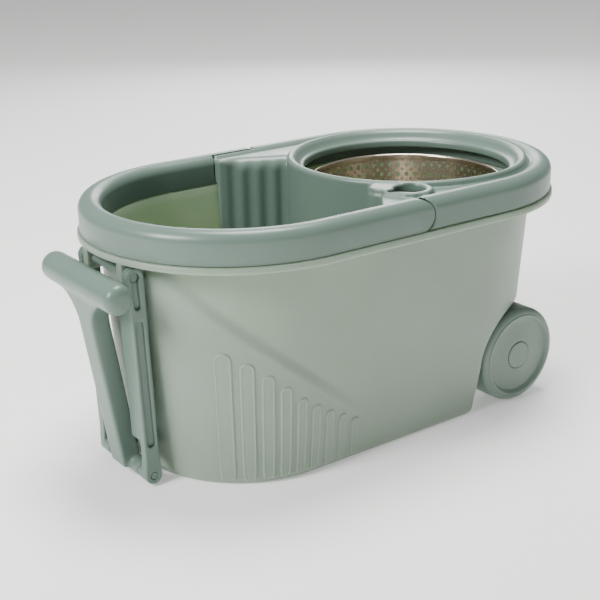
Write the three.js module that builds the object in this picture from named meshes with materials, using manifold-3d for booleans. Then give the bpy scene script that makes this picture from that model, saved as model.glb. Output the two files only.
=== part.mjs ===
// A wheeled spin-mop bucket: tub, wringer cover, spinning basket, bail handle, wheels and a folding tow handle.
// Millimetres, +Z up, +X towards the wheels. The origin is on the tub's underside, below the middle of the rim.
import * as THREE from "three";
import { mergeVertices } from "three/addons/utils/BufferGeometryUtils.js";
import Module from "manifold-3d";

const wasm = await Module();
wasm.setup();

// Clearances
const GAP = 0.3;
const TURN_GAP = 0.5;
const NOSE_GAP = 1.1;

// Tub
const RIM_LENGTH = 460;
const RIM_WIDTH = 270;
const FLANGE_LOW = 195.5;
const FLANGE_HEIGHT = 5.5;
const FLANGE_PLATE = 2.5;
const FLANGE_LIP = 2.5;
const FLANGE_OVERHANG = 20;
const TUB_DRAFT = Math.tan(THREE.MathUtils.degToRad(3.6));
const TUB_WALL = 2.8;
const FOOT_ROUND = 5;

// Wheels and axle
const WHEEL_RADIUS = 46;
const WHEEL_WIDTH = 34;
const WHEEL_PROUD = 2;
const WHEEL_SHELL = 3;
const WHEEL_RING = 39.5;
const WHEEL_FROM_REAR = 82;
const HUB_RADIUS = 9;
const CAP_RADIUS = 13;
const CAP_THICK = 2.5;
const AXLE_RADIUS = 4;
const CLIP_RADIUS = 7.5;
const CLIP_THICK = 1.2;
const GROUND_GAP = 0.5;
const ARCH_CLEARANCE = 3.5;
const ARCH_FOOT_SLOPE = 6;
const ARCH_CORNER = 8;
const CHEEK_THICK = 6;
const CHEEK_RADIUS = 11;
const CHEEK_GAP = 1;

// Rim section shared by the bail and the cover
const RIM_SET_BACK = 2;
const RIM_SECTION_WIDTH = 20.2;
const RIM_TOP = 228;
const RIM_ROUND = 9.5;
const RIM_WALL = 2.5;

// Bail pivot
const PIVOT_X = -3.5;
const TONGUE_THICK = 13.3;
const EAR_RADIUS = 46.3;
const AXIS_BELOW_TOP = 6;
const PIVOT_PIN = 2.5;
const PIVOT_PIN_LENGTH = 11;
const PIN_IN_EAR = 2.7;

// Wringer cover
const OPENING_TO_REAR = 135;
const LIP_TOP = 230;
const SKIRT_RADIUS = 111;
const LIP_WIDTH = 8;
const THROAT_INSET = 16;
const THROAT_TOP = 221;
const THROAT_BOTTOM = 214;
const DECK_TOP = 224.5;
const COVER_WALL = 2.5;
const SKIRT_BOTTOM = 155;
const SKIRT_TUB_GAP = 1;
const POUR_HOLE = 13.5;
const POUR_TIP = 4;

// Basket and spindle
const BASKET_RIM_TOP = 209;
const THROAT_CLEARANCE = 4;
const BASKET_TAPER = 9;
const BASKET_FLOOR_ROUND = 5;
const BASKET_ROLL = 3;
const BASKET_DEPTH = 88;
const STEEL = 1;
const POST_RADIUS = 14;
const HUB_FLANGE_RADIUS = 32;
const HUB_FLANGE_THICK = 5;
const HUB_TUBE_RADIUS = 12;
const HUB_TUBE_HEIGHT = 22;
const BUSH_WALL = 2.7;
const SPINDLE_RADIUS = 5;
const SPINDLE_BURIED = 24;
const GROOVE_DEPTH = 1.5;
const SPINDLE_TIP = 1;
const WASHER_THICK = 1.5;
const WASHER_RADIUS = 11;
const SEAT_MARGIN = 9;
const SEAT_RIM = 3;
const SEAT_STEP_WIDTH = 9;
const SEAT_STEP_HEIGHT = 5;
const SEAT_THICK = 4;
const SEAT_BOSS_RADIUS = 19;
const SEAT_BOSS_HEIGHT = 27;
const SEAT_WALL = 2.5;
const SCREW_CIRCLE = 24;
const SCREW_SHANK = 1.7;
const SCREW_HEAD = 3.5;
const SCREW_HEAD_HEIGHT = 2;
const SCREW_LENGTH = 9;
const SCREW_COUNT = 3;

// Tow frame and tow handle
const TOW_TOP_FROM_FRONT = 12;
const TOW_TOP_Z = 185;
const TOW_FOOT_FROM_FRONT = 17;
const TOW_FOOT_Z = 10;
const LUG_INNER = 25;
const LUG_THICK = 8;
const LUG_HEIGHT = 23;
const LUG_NOSE = 7;
const LUG_ROOT = 4;
const BAR_THICK = 8.5;
const BAR_DEPTH = 13;
const TOP_EYE = 8;
const FOOT_EYE = 7.5;
const FOOT_EYE_LENGTH = 16;
const CHANNEL_DEPTH = 2.5;
const CHANNEL_WIDTH = 6;
const SLOT_LENGTH = 24;
const SLOT_WIDTH = 5;
const WEB_LOW = 17;
const WEB_HIGH = 32;
const WEB_THICK = 3.5;
const BAR_SHOULDER = 16.5;
const CHANNEL_START = 22.5;
const BAR_FLANGE_INNER = 20;
const BAR_FLANGE_THICK = 3;
const BAR_FLANGE_BELOW_TOP = 27;
const PIN_RECESS = 0.5;
const TOP_PIN = 3.5;
const FOOT_PIN = 3;
const GRIP_LEAN = THREE.MathUtils.degToRad(8);
const GRIP_REACH = 168;
const GRIP_FORWARD = 4;
const GRIP_RADIUS = 12.5;
const GRIP_LENGTH = 122;
const GRIP_END_ROUND = 7;
const STEM_WIDTH = 24;
const STEM_DEPTH = 17;
const GUSSET_RADIUS = 29;
const HANDLE_HUB = 7.5;
const HANDLE_HUB_GAP = 0.6;

// Derived places
const END_RADIUS = RIM_WIDTH / 2;
const HALF_STRAIGHT = RIM_LENGTH / 2 - END_RADIUS;
const FLANGE_TOP = FLANGE_LOW + FLANGE_HEIGHT;
const RIM_BOTTOM = FLANGE_TOP + GAP;
const RIM_OUTER = END_RADIUS - RIM_SET_BACK;
const RIM_INNER = RIM_OUTER - RIM_SECTION_WIDTH;
const NOSE_Z = (RIM_BOTTOM + RIM_TOP) / 2;
const BAIL_AXIS_Z = RIM_TOP - AXIS_BELOW_TOP;
const NOSE_RADIUS = (RIM_TOP - RIM_BOTTOM) / 2 - GAP / 2;
const TONGUE_INNER = RIM_OUTER - TONGUE_THICK;
const EAR_OUTER = TONGUE_INNER - TURN_GAP;
const OPENING_X = RIM_LENGTH / 2 - OPENING_TO_REAR;
const THROAT_RADIUS = SKIRT_RADIUS - THROAT_INSET;
const BASKET_TOP_RADIUS = THROAT_RADIUS - THROAT_CLEARANCE - BASKET_ROLL;
const BASKET_BOTTOM_RADIUS = BASKET_TOP_RADIUS - BASKET_TAPER;
const SEAT_RADIUS = BASKET_BOTTOM_RADIUS - SEAT_MARGIN;
const TOW_TOP_X = TOW_TOP_FROM_FRONT - RIM_LENGTH / 2;
const TOW_FOOT_X = TOW_FOOT_FROM_FRONT - RIM_LENGTH / 2;
const wallRadius = (z) => END_RADIUS - FLANGE_OVERHANG - (FLANGE_LOW - z) * TUB_DRAFT;
const AXLE_X = RIM_LENGTH / 2 - WHEEL_FROM_REAR;
const AXLE_Z = WHEEL_RADIUS + GROUND_GAP;
const WHEEL_FACE = wallRadius(AXLE_Z) + WHEEL_PROUD;
const WHEEL_BACK = WHEEL_FACE - WHEEL_WIDTH;
const ARCH_RADIUS = WHEEL_RADIUS + ARCH_CLEARANCE;
const BASKET_FLOOR = BASKET_RIM_TOP - BASKET_DEPTH;
const HUB_FLANGE_LOW = BASKET_FLOOR - GAP - HUB_FLANGE_THICK;
const WASHER_LOW = HUB_FLANGE_LOW - GAP - WASHER_THICK;
const POST_TOP = WASHER_LOW - GAP;
const BUSH_OUTER = SPINDLE_RADIUS + GAP + BUSH_WALL;
const HUB_TOP = HUB_FLANGE_LOW + HUB_TUBE_HEIGHT;
const CLIP_Z = HUB_TOP + GAP;
const SPINDLE_TOP = CLIP_Z + CLIP_THICK + GAP;
const SEAT_LOW = BASKET_FLOOR + STEEL + GAP;
const BAR_INNER = LUG_INNER + LUG_THICK + GAP;
const BAR_OUTER = BAR_INNER + BAR_THICK;
const FOOT_EYE_INNER = BAR_OUTER - FOOT_EYE_LENGTH;

const ARC_STEPS = 18;
const ROUND_STEPS = 3;
const SHAPE_STEPS = 10;
const FINE = 56;
const MEDIUM = 28;
const COARSE = 16;
const SCREW_SIDES = 8;
const OVERLAP = 1;
const FAR = 400;

// Helpers: every piece is a manifold solid until it becomes a mesh.

// Closed geometry to solid, with its shared corners merged.
function solid(geometry) {
  const bare = geometry.clone();
  bare.deleteAttribute("normal");
  bare.deleteAttribute("uv");
  const merged = mergeVertices(bare, 1e-4);
  return new wasm.Manifold(
    new wasm.Mesh({
      numProp: 3,
      vertProperties: merged.attributes.position.array,
      triVerts: new Uint32Array(merged.index.array),
    }),
  );
}

// Rings of points joined one to the next, capped at both ends, or joined last to first where no cap is given.
function ringSolid(rings, capOutline) {
  const count = rings[0].length;
  const index = [];
  const spans = capOutline ? rings.length - 1 : rings.length;
  for (let i = 0; i < spans; i++) {
    const next = (i + 1) % rings.length;
    for (let j = 0; j < count; j++) {
      const k = (j + 1) % count;
      index.push(i * count + j, i * count + k, next * count + k);
      index.push(i * count + j, next * count + k, next * count + j);
    }
  }
  if (capOutline) {
    const last = (rings.length - 1) * count;
    for (const [a, b, c] of THREE.ShapeUtils.triangulateShape(capOutline, [])) {
      index.push(a, c, b);
      index.push(last + a, last + b, last + c);
    }
  }
  const geometry = new THREE.BufferGeometry().setFromPoints(rings.flat());
  geometry.setIndex(index);
  const positions = geometry.attributes.position;
  let volume = 0;
  const corner = (i) => new THREE.Vector3().fromBufferAttribute(positions, i);
  for (let i = 0; i < index.length; i += 3) {
    volume += corner(index[i]).dot(corner(index[i + 1]).cross(corner(index[i + 2])));
  }
  if (volume < 0) index.reverse();
  geometry.setIndex(index);
  return solid(geometry);
}

// Stations of the oval plan: a centre on the X axis and a direction. A profile's radius is laid off along it.
function station(centre, angle) {
  return { centre, cos: Math.cos(angle), sin: Math.sin(angle) };
}

function arcStations(centre, from, to) {
  const steps = ARC_STEPS;
  return Array.from({ length: steps + 1 }, (_, i) => station(centre, from + ((to - from) * i) / steps));
}

const RIGHT = -Math.PI / 2;
const rearArc = arcStations(HALF_STRAIGHT, RIGHT, RIGHT + Math.PI);
const frontArc = arcStations(-HALF_STRAIGHT, RIGHT + Math.PI, RIGHT + 2 * Math.PI);
const wholeOval = [...rearArc, ...frontArc];

const place = (s, radius, z) => new THREE.Vector3(s.centre + radius * s.cos, radius * s.sin, z);

// A solid of the oval plan: each level is a radius and a height.
function ovalStack(levels) {
  const outline = wholeOval.map((s) => new THREE.Vector2(s.centre + s.cos, s.sin));
  return ringSolid(levels.map(([radius, z]) => wholeOval.map((s) => place(s, radius, z))), outline);
}

// A profile of radius and height carried along stations, with flat ends.
function sweep(profile, stations) {
  const outline = profile.map(([radius, z]) => new THREE.Vector2(radius, z));
  return ringSolid(stations.map((s) => profile.map(([radius, z]) => place(s, radius, z))), outline);
}

// A box between two corners.
function box(low, high) {
  const size = low.map((value, i) => high[i] - value);
  const geometry = new THREE.BoxGeometry(...size);
  return solid(geometry).translate(low.map((value, i) => value + size[i] / 2));
}

// A cylinder along Z, or along Y, centred on a point.
function rod(radius, length, centre, along = "z", segments = MEDIUM) {
  const geometry = new THREE.CylinderGeometry(radius, radius, length, segments);
  if (along === "z") geometry.rotateX(Math.PI / 2);
  return solid(geometry).translate(centre);
}

// A solid of revolution about Z from a closed profile of radius and height.
function turned(profile, segments = MEDIUM) {
  const points = profile.map(([radius, z]) => new THREE.Vector2(radius, z));
  points.push(points[0].clone());
  const geometry = new THREE.LatheGeometry(points, segments);
  geometry.rotateX(Math.PI / 2);
  const made = solid(geometry);
  if (made.volume() > 0) return made;
  const flipped = geometry.clone();
  flipped.setIndex([...geometry.index.array].reverse());
  return solid(flipped);
}

// A shape drawn in X and Z, given a thickness along Y between two heights.
function slabAlongY(shape, from, to) {
  const settings = { depth: to - from, bevelEnabled: false, curveSegments: SHAPE_STEPS };
  const geometry = new THREE.ExtrudeGeometry(shape, settings);
  geometry.rotateX(Math.PI / 2);
  return solid(geometry).translate([0, to, 0]);
}

// A shape drawn in X and Y, given a height between two levels.
function slabAlongZ(shape, from, to) {
  const settings = { depth: to - from, bevelEnabled: false, curveSegments: SHAPE_STEPS };
  const geometry = new THREE.ExtrudeGeometry(shape, settings);
  return solid(geometry).translate([0, 0, from]);
}

// Points of a quarter round from one direction to another.
function roundPoints(centreR, centreZ, radius, from, to) {
  return Array.from({ length: ROUND_STEPS + 1 }, (_, i) => {
    const angle = from + ((to - from) * i) / ROUND_STEPS;
    return [centreR + radius * Math.cos(angle), centreZ + radius * Math.sin(angle)];
  });
}

const parts = new THREE.Group();

// Turns a solid into a named mesh of the part.
function addPart(name, body, colour, roughness, metalness = 0) {
  const mesh = body.getMesh();
  const geometry = new THREE.BufferGeometry();
  geometry.setAttribute("position", new THREE.BufferAttribute(new Float32Array(mesh.vertProperties), 3));
  geometry.setIndex(new THREE.BufferAttribute(new Uint32Array(mesh.triVerts), 1));
  geometry.computeVertexNormals();
  const material = new THREE.MeshStandardMaterial({ color: colour, roughness, metalness });
  const piece = new THREE.Mesh(geometry, material);
  piece.name = name;
  parts.add(piece);
}

const TUB_GREEN = 0x9aa89c;
const COVER_GREEN = 0x8fa59b;
const STEEL_GREY = 0xb9b4aa;
const NATURAL_PLASTIC = 0xd8d8d0;

// Tub: drafted oval shell with a flange, wheel arches, axle cheeks, a spindle post and two hinge lugs.

// The side view that the tub keeps: flat underside, a rounded foot, then the arch over the axle and the shelf.
function keptSide(inset) {
  const radius = ARCH_RADIUS + inset;
  const footX = AXLE_X - radius - ARCH_FOOT_SLOPE;
  const shape = new THREE.Shape();
  shape.moveTo(-FAR, inset);
  shape.lineTo(footX - ARCH_CORNER, inset);
  shape.absarc(footX - ARCH_CORNER, inset + ARCH_CORNER, ARCH_CORNER, -Math.PI / 2, 0, false);
  shape.absarc(AXLE_X, AXLE_Z, radius, Math.PI, Math.PI / 2, true);
  shape.lineTo(FAR, AXLE_Z + radius);
  shape.lineTo(FAR, FAR);
  shape.lineTo(-FAR, FAR);
  return slabAlongY(shape, -FAR, FAR);
}

function makeTub() {
  const outside = ovalStack([
    [wallRadius(0) - FOOT_ROUND, 0],
    [wallRadius(0) - FOOT_ROUND * 0.3, FOOT_ROUND * 0.3],
    [wallRadius(FOOT_ROUND), FOOT_ROUND],
    [wallRadius(FLANGE_TOP - FLANGE_PLATE), FLANGE_TOP - FLANGE_PLATE],
    [END_RADIUS - FLANGE_LIP, FLANGE_TOP - FLANGE_PLATE],
    [END_RADIUS - FLANGE_LIP, FLANGE_LOW],
    [END_RADIUS, FLANGE_LOW],
    [END_RADIUS, FLANGE_TOP],
  ]).intersect(keptSide(0));
  const cavity = ovalStack([
    [wallRadius(TUB_WALL) - TUB_WALL - FOOT_ROUND, TUB_WALL],
    [wallRadius(TUB_WALL + FOOT_ROUND) - TUB_WALL, TUB_WALL + FOOT_ROUND],
    [wallRadius(FLANGE_TOP) - TUB_WALL, FLANGE_TOP],
    [wallRadius(FLANGE_TOP) - TUB_WALL, FLANGE_TOP + FLANGE_HEIGHT],
  ]).intersect(keptSide(TUB_WALL));

  const cheekTop = AXLE_Z + ARCH_RADIUS + TUB_WALL / 2;
  const cheekSide = new THREE.Shape();
  cheekSide.moveTo(AXLE_X + 2 * CHEEK_RADIUS, cheekTop);
  cheekSide.lineTo(AXLE_X - 2 * CHEEK_RADIUS, cheekTop);
  cheekSide.absarc(AXLE_X, AXLE_Z, CHEEK_RADIUS, Math.PI, 2 * Math.PI, false);
  const cheekOuter = WHEEL_BACK - CHEEK_GAP;
  const cheek = slabAlongY(cheekSide, cheekOuter - CHEEK_THICK, cheekOuter);
  const cheeks = cheek.add(cheek.mirror([0, 1, 0]));

  const lugTop = FLANGE_TOP - FLANGE_PLATE / 2;
  const lug = box(
    [TOW_TOP_X - LUG_NOSE, LUG_INNER, lugTop - LUG_HEIGHT],
    [-HALF_STRAIGHT - wallRadius(TOW_TOP_Z) + 2 * TUB_WALL + LUG_ROOT, LUG_INNER + LUG_THICK, lugTop],
  );
  const lugs = lug.add(lug.mirror([0, 1, 0]));

  const post = rod(POST_RADIUS, POST_TOP, [OPENING_X, 0, POST_TOP / 2], "z", MEDIUM).intersect(keptSide(0));
  const spindleHole = rod(SPINDLE_RADIUS + GAP, SPINDLE_BURIED * 2, [OPENING_X, 0, POST_TOP], "z", COARSE);
  const axleHole = rod(AXLE_RADIUS + GAP, RIM_WIDTH, [AXLE_X, 0, AXLE_Z], "y", COARSE);
  const pinHole = rod(TOP_PIN + GAP, RIM_WIDTH, [TOW_TOP_X, 0, TOW_TOP_Z], "y", COARSE);
  return outside
    .add(cheeks)
    .add(lugs)
    .subtract(cavity)
    .add(post)
    .subtract(spindleHole)
    .subtract(axleHole)
    .subtract(pinHole);
}

addPart("tub", makeTub(), TUB_GREEN, 0.45);

// Rim section: flat foot, upright sides and a rounded top.
function rimProfile(inset) {
  const outer = RIM_OUTER - inset;
  const inner = RIM_INNER + inset;
  const top = RIM_TOP - inset;
  const round = RIM_ROUND - inset;
  return [
    [inner, RIM_BOTTOM - inset],
    [outer, RIM_BOTTOM - inset],
    ...roundPoints(outer - round, top - round, round, 0, Math.PI / 2),
    ...roundPoints(inner + round, top - round, round, Math.PI / 2, Math.PI),
  ];
}

// Bail handle: the front half of the rim, hollow underneath, with a tongue and a round nose at each end.
function bailPath(endX) {
  const front = arcStations(-HALF_STRAIGHT, RIGHT, RIGHT - Math.PI);
  return [station(endX, RIGHT), ...front, station(endX, RIGHT - Math.PI)];
}

function noseCylinder(radius, segments = MEDIUM) {
  return rod(radius, FAR, [PIVOT_X, 0, NOSE_Z], "y", segments);
}

// The two pivot pins, or with a clearance their blind bores: half in the cover's ears, half in the tongues.
function pivotPins(clearance) {
  const middle = EAR_OUTER - PIN_IN_EAR + PIVOT_PIN_LENGTH / 2;
  const length = PIVOT_PIN_LENGTH + 2 * clearance;
  const pin = rod(PIVOT_PIN + clearance, length, [PIVOT_X, middle, BAIL_AXIS_Z], "y", COARSE);
  return pin.add(pin.mirror([0, 1, 0]));
}

function makeBail() {
  const hollowEnd = PIVOT_X - EAR_RADIUS - 2 * RIM_WALL;
  const whole = sweep(rimProfile(0), bailPath(PIVOT_X + NOSE_RADIUS + OVERLAP));
  const hollow = sweep(rimProfile(RIM_WALL), bailPath(hollowEnd));
  const earSpace = noseCylinder(EAR_RADIUS + TURN_GAP, FINE)
    .add(box([PIVOT_X, -FAR, 0], [FAR, FAR, FAR]))
    .intersect(box([-FAR, -TONGUE_INNER, 0], [FAR, TONGUE_INNER, FAR]));
  const beyondPivot = box([PIVOT_X, -FAR, 0], [FAR, FAR, FAR]).subtract(noseCylinder(NOSE_RADIUS));
  return whole.subtract(hollow).subtract(earSpace).subtract(beyondPivot).subtract(pivotPins(GAP));
}

addPart("bail_handle", makeBail(), COVER_GREEN, 0.4);

// Pins that the bail turns on, held in the cover's ears.
const rightHalf = box([-FAR, -FAR, 0], [FAR, 0, FAR]);
addPart("bail_pivot_right", pivotPins(0).intersect(rightHalf), COVER_GREEN, 0.4);
addPart("bail_pivot_left", pivotPins(0).subtract(rightHalf), COVER_GREEN, 0.4);

// Wringer cover: rear half of the rim, ears beside the bail's tongues, deck, round opening, and the skirt that
// parts the wash tub from the basket. The skirt follows the opening, with a fluted wing on the left and a
// pouring pocket on the right.
const SEAM_ANGLE = THREE.MathUtils.degToRad(136);
const POCKET_ANGLE = THREE.MathUtils.degToRad(206);
const POCKET_CORNER = 10;
const POCKET_CORNER_END = THREE.MathUtils.degToRad(220);
const POCKET_PROUD = 2;
const POCKET_DEPTH = 18;
const FLUTES = 4;
const FLUTE_STEP = 3;
const POUR_TO_OPENING = 79;
const POUR_TO_RIM = 17.8;
const POUR_TIP_AHEAD = 17;
const POUR_TIP_INWARD = 4;
const POUR_PLACE = new THREE.Vector2(OPENING_X - POUR_TO_OPENING, POUR_TO_RIM - RIM_INNER);
const POUR_TIP_PLACE = new THREE.Vector2(POUR_PLACE.x - POUR_TIP_AHEAD, POUR_PLACE.y + POUR_TIP_INWARD);
const POUR_START = THREE.MathUtils.degToRad(-112);
const POUR_TANGENT = THREE.MathUtils.degToRad(153);
const POUR_TIP_END = THREE.MathUtils.degToRad(234);
const POUR_LIP_WIDTH = 5;
const POUR_LIP_TOP = 228.6;
const LIP_ROUND = 3;
const ROUND_OFFSET_STEPS = 24;

// The plan of everything behind the cover's front edge.
function frontOutline() {
  const shape = new THREE.Shape();
  const seamX = OPENING_X + SKIRT_RADIUS * Math.cos(SEAM_ANGLE);
  const seamY = SKIRT_RADIUS * Math.sin(SEAM_ANGLE);
  const earX = PIVOT_X - EAR_RADIUS;
  const wingEndY = wallRadius(RIM_BOTTOM) - TUB_WALL;
  shape.moveTo(FAR, FAR);
  shape.lineTo(earX, FAR);
  shape.lineTo(earX, wingEndY);
  const wing = new THREE.Vector2(seamX - earX, seamY - wingEndY);
  const inward = new THREE.Vector2(-wing.y, wing.x).normalize().multiplyScalar(FLUTE_STEP);
  for (let i = 1; i < FLUTES; i++) {
    const x = earX + (wing.x * i) / FLUTES;
    const y = wingEndY + (wing.y * i) / FLUTES;
    shape.lineTo(x, y);
    shape.lineTo(x + inward.x, y + inward.y);
  }
  shape.absarc(OPENING_X, 0, SKIRT_RADIUS, SEAM_ANGLE, POCKET_ANGLE, false);
  const cornerX = OPENING_X + SKIRT_RADIUS * Math.cos(POCKET_ANGLE) + POCKET_CORNER - POCKET_PROUD;
  const cornerY = SKIRT_RADIUS * Math.sin(POCKET_ANGLE) - POCKET_DEPTH;
  shape.absarc(cornerX, cornerY, POCKET_CORNER, Math.PI, POCKET_CORNER_END, false);
  shape.lineTo(earX, -wingEndY);
  shape.lineTo(earX, -FAR);
  shape.lineTo(FAR, -FAR);
  return section(shape);
}

// The pear-shaped pouring hole in plan.
function pourOutline() {
  const shape = new THREE.Shape();
  shape.absarc(POUR_PLACE.x, POUR_PLACE.y, POUR_HOLE, POUR_START, POUR_TANGENT, false);
  shape.absarc(POUR_TIP_PLACE.x, POUR_TIP_PLACE.y, POUR_TIP, POUR_TANGENT, POUR_TIP_END, false);
  return section(shape);
}

// A flat section from a shape.
function section(shape) {
  const points = shape.getPoints(SHAPE_STEPS);
  return new wasm.CrossSection([points.map(({ x, y }) => [x, y])]);
}

// A flat section given a height between two levels.
const raised = (flat, from, to) => flat.extrude(to - from).translate([0, 0, from]);

function makeCover() {
  const behindFront = raised(frontOutline(), SKIRT_BOTTOM, LIP_TOP);
  const inset = frontOutline().offset(-COVER_WALL, "Round", 2, ROUND_OFFSET_STEPS);
  const behindFrontInner = raised(inset, SKIRT_BOTTOM - OVERLAP, LIP_TOP);
  const deckRound = rimProfile(0).slice(1);
  const block = ovalStack([...deckRound.slice(0, -2), [RIM_INNER, DECK_TOP]]);
  const insideBlock = ovalStack([
    ...rimProfile(RIM_WALL).slice(1, -2),
    [RIM_INNER + RIM_WALL, DECK_TOP - COVER_WALL],
  ]);
  const ears = box([-FAR, -EAR_OUTER, 0], [FAR, EAR_OUTER, FAR]);
  const earFace = noseCylinder(EAR_RADIUS, FINE).add(box([PIVOT_X, -FAR, 0], [FAR, FAR, FAR]));
  const rimStart = box([PIVOT_X, -FAR, 0], [FAR, FAR, FAR]).subtract(noseCylinder(NOSE_RADIUS + NOSE_GAP));
  const outer = block.intersect(behindFront).intersect(earFace).intersect(ears.add(rimStart));

  const hollowEars = box([-FAR, -RIM_INNER, 0], [FAR, RIM_INNER, FAR]);
  const hollowRim = box([PIVOT_X + NOSE_RADIUS + 3 * RIM_WALL, -FAR, 0], [FAR, FAR, FAR]);
  const hollow = insideBlock.intersect(behindFrontInner).intersect(hollowEars.add(hollowRim));

  const tubInside = ovalStack([
    [wallRadius(SKIRT_BOTTOM) - TUB_WALL - SKIRT_TUB_GAP, SKIRT_BOTTOM],
    [wallRadius(FLANGE_TOP) - TUB_WALL - SKIRT_TUB_GAP, FLANGE_TOP],
    [wallRadius(FLANGE_TOP) - TUB_WALL - SKIRT_TUB_GAP, DECK_TOP - OVERLAP],
  ]);
  const skirtFront = box([-FAR, -FAR, 0], [OPENING_X - SKIRT_RADIUS / 4, FAR, FAR]);
  const belowRim = box([-FAR, -FAR, 0], [FAR, FAR, RIM_BOTTOM]);
  const skirt = behindFront
    .subtract(behindFrontInner)
    .intersect(tubInside)
    .intersect(skirtFront)
    .intersect(earFace.add(belowRim));

  const lipInner = SKIRT_RADIUS - LIP_WIDTH;
  const throatOuter = THROAT_RADIUS + COVER_WALL;
  const lip = turned([
    [SKIRT_RADIUS, THROAT_TOP],
    ...lipRound(LIP_ROUND),
    [lipInner, LIP_TOP - LIP_ROUND / 2],
    [THROAT_RADIUS, THROAT_TOP],
    [THROAT_RADIUS, THROAT_BOTTOM],
    [throatOuter, THROAT_BOTTOM],
    [throatOuter, THROAT_TOP - LIP_ROUND / 2],
  ], FINE).translate([OPENING_X, 0, 0]);
  const opening = rod(SKIRT_RADIUS - LIP_ROUND, FAR, [OPENING_X, 0, LIP_TOP], "z", FINE);

  const pourEdge = pourOutline().offset(POUR_LIP_WIDTH, "Round", 2, ROUND_OFFSET_STEPS);
  const pourLip = raised(pourEdge, DECK_TOP - OVERLAP, POUR_LIP_TOP)
    .intersect(behindFront)
    .intersect(ovalStack([[RIM_INNER + OVERLAP, 0], [RIM_INNER + OVERLAP, FAR]]))
    .subtract(opening);
  return outer
    .subtract(hollow)
    .subtract(opening)
    .add(skirt)
    .add(lip)
    .add(pourLip)
    .subtract(raised(pourOutline(), SKIRT_BOTTOM, LIP_TOP))
    .subtract(pivotPins(GAP));
}

// The outer top corner of the opening's lip.
function lipRound(radius) {
  return roundPoints(SKIRT_RADIUS - radius, LIP_TOP - radius, radius, 0, Math.PI / 2);
}

addPart("wringer_cover", makeCover(), COVER_GREEN, 0.4);

// Basket: a thin steel cup with a rolled rim, on a plastic hub that turns on a fixed steel spindle.
function makeBasket() {
  const hole = HUB_TUBE_RADIUS + TURN_GAP;
  const rollOuter = BASKET_TOP_RADIUS + BASKET_ROLL;
  return turned([
    [hole, BASKET_FLOOR],
    [BASKET_BOTTOM_RADIUS - BASKET_FLOOR_ROUND, BASKET_FLOOR],
    [BASKET_BOTTOM_RADIUS, BASKET_FLOOR + BASKET_FLOOR_ROUND],
    [BASKET_TOP_RADIUS, BASKET_RIM_TOP - BASKET_ROLL],
    [rollOuter, BASKET_RIM_TOP - BASKET_ROLL],
    [rollOuter, BASKET_RIM_TOP - STEEL],
    [rollOuter - STEEL, BASKET_RIM_TOP],
    [BASKET_TOP_RADIUS - STEEL / 2, BASKET_RIM_TOP],
    [BASKET_TOP_RADIUS - STEEL, BASKET_RIM_TOP - STEEL],
    [BASKET_BOTTOM_RADIUS - STEEL, BASKET_FLOOR + BASKET_FLOOR_ROUND + STEEL],
    [BASKET_BOTTOM_RADIUS - BASKET_FLOOR_ROUND - STEEL, BASKET_FLOOR + STEEL],
    [hole, BASKET_FLOOR + STEEL],
  ], MEDIUM);
}

const screwPlaces = Array.from({ length: SCREW_COUNT }, (_, i) => {
  const angle = (2 * Math.PI * i) / SCREW_COUNT;
  return [SCREW_CIRCLE * Math.cos(angle), SCREW_CIRCLE * Math.sin(angle)];
});

// Removes a round hole at each screw place between two levels.
function screwHoles(body, radius, from, to) {
  return screwPlaces.reduce(
    (left, [x, y]) => left.subtract(rod(radius, to - from, [x, y, (from + to) / 2], "z", COARSE)),
    body,
  );
}

function makeHub() {
  const bore = BUSH_OUTER + GAP;
  const hub = turned([
    [bore, HUB_FLANGE_LOW],
    [HUB_FLANGE_RADIUS, HUB_FLANGE_LOW],
    [HUB_FLANGE_RADIUS, HUB_FLANGE_LOW + HUB_FLANGE_THICK],
    [HUB_TUBE_RADIUS, HUB_FLANGE_LOW + HUB_FLANGE_THICK],
    [HUB_TUBE_RADIUS, HUB_TOP],
    [bore, HUB_TOP],
  ], MEDIUM);
  const bored = screwHoles(hub, SCREW_SHANK + GAP, 0, FAR);
  return screwHoles(bored, SCREW_HEAD + GAP, HUB_FLANGE_LOW - 1, HUB_FLANGE_LOW + SCREW_HEAD_HEIGHT + GAP);
}

function makeSeat() {
  const domeInner = HUB_TUBE_RADIUS + 2;
  const domeTop = SEAT_LOW + SEAT_BOSS_HEIGHT;
  const rimTop = SEAT_LOW + SEAT_THICK + SEAT_RIM;
  const seat = turned([
    [0, domeTop - SEAT_WALL],
    [domeInner, domeTop - SEAT_WALL],
    [domeInner, SEAT_LOW],
    [SEAT_RADIUS, SEAT_LOW],
    [SEAT_RADIUS, rimTop],
    [SEAT_RADIUS - SEAT_RIM, rimTop],
    [SEAT_RADIUS - SEAT_RIM, SEAT_LOW + SEAT_THICK],
    [SEAT_BOSS_RADIUS + SEAT_STEP_WIDTH, SEAT_LOW + SEAT_THICK],
    [SEAT_BOSS_RADIUS + SEAT_STEP_WIDTH, SEAT_LOW + SEAT_THICK + SEAT_STEP_HEIGHT],
    [SEAT_BOSS_RADIUS, SEAT_LOW + SEAT_THICK + SEAT_STEP_HEIGHT],
    [SEAT_BOSS_RADIUS - 1, domeTop - 2],
    [SEAT_BOSS_RADIUS - 3, domeTop],
    [0, domeTop],
  ], MEDIUM);
  const holeTop = HUB_FLANGE_LOW + SCREW_HEAD_HEIGHT + SCREW_LENGTH + OVERLAP;
  return screwHoles(seat, SCREW_SHANK + GAP, SEAT_LOW - OVERLAP, holeTop);
}

const atOpening = (body) => body.translate([OPENING_X, 0, 0]);
addPart("spin_basket", atOpening(screwHoles(makeBasket(), SCREW_SHANK + GAP, 0, FAR)), STEEL_GREY, 0.2, 1);
addPart("basket_hub", atOpening(makeHub()), COVER_GREEN, 0.5);
addPart("basket_seat", atOpening(makeSeat()), COVER_GREEN, 0.5);

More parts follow.
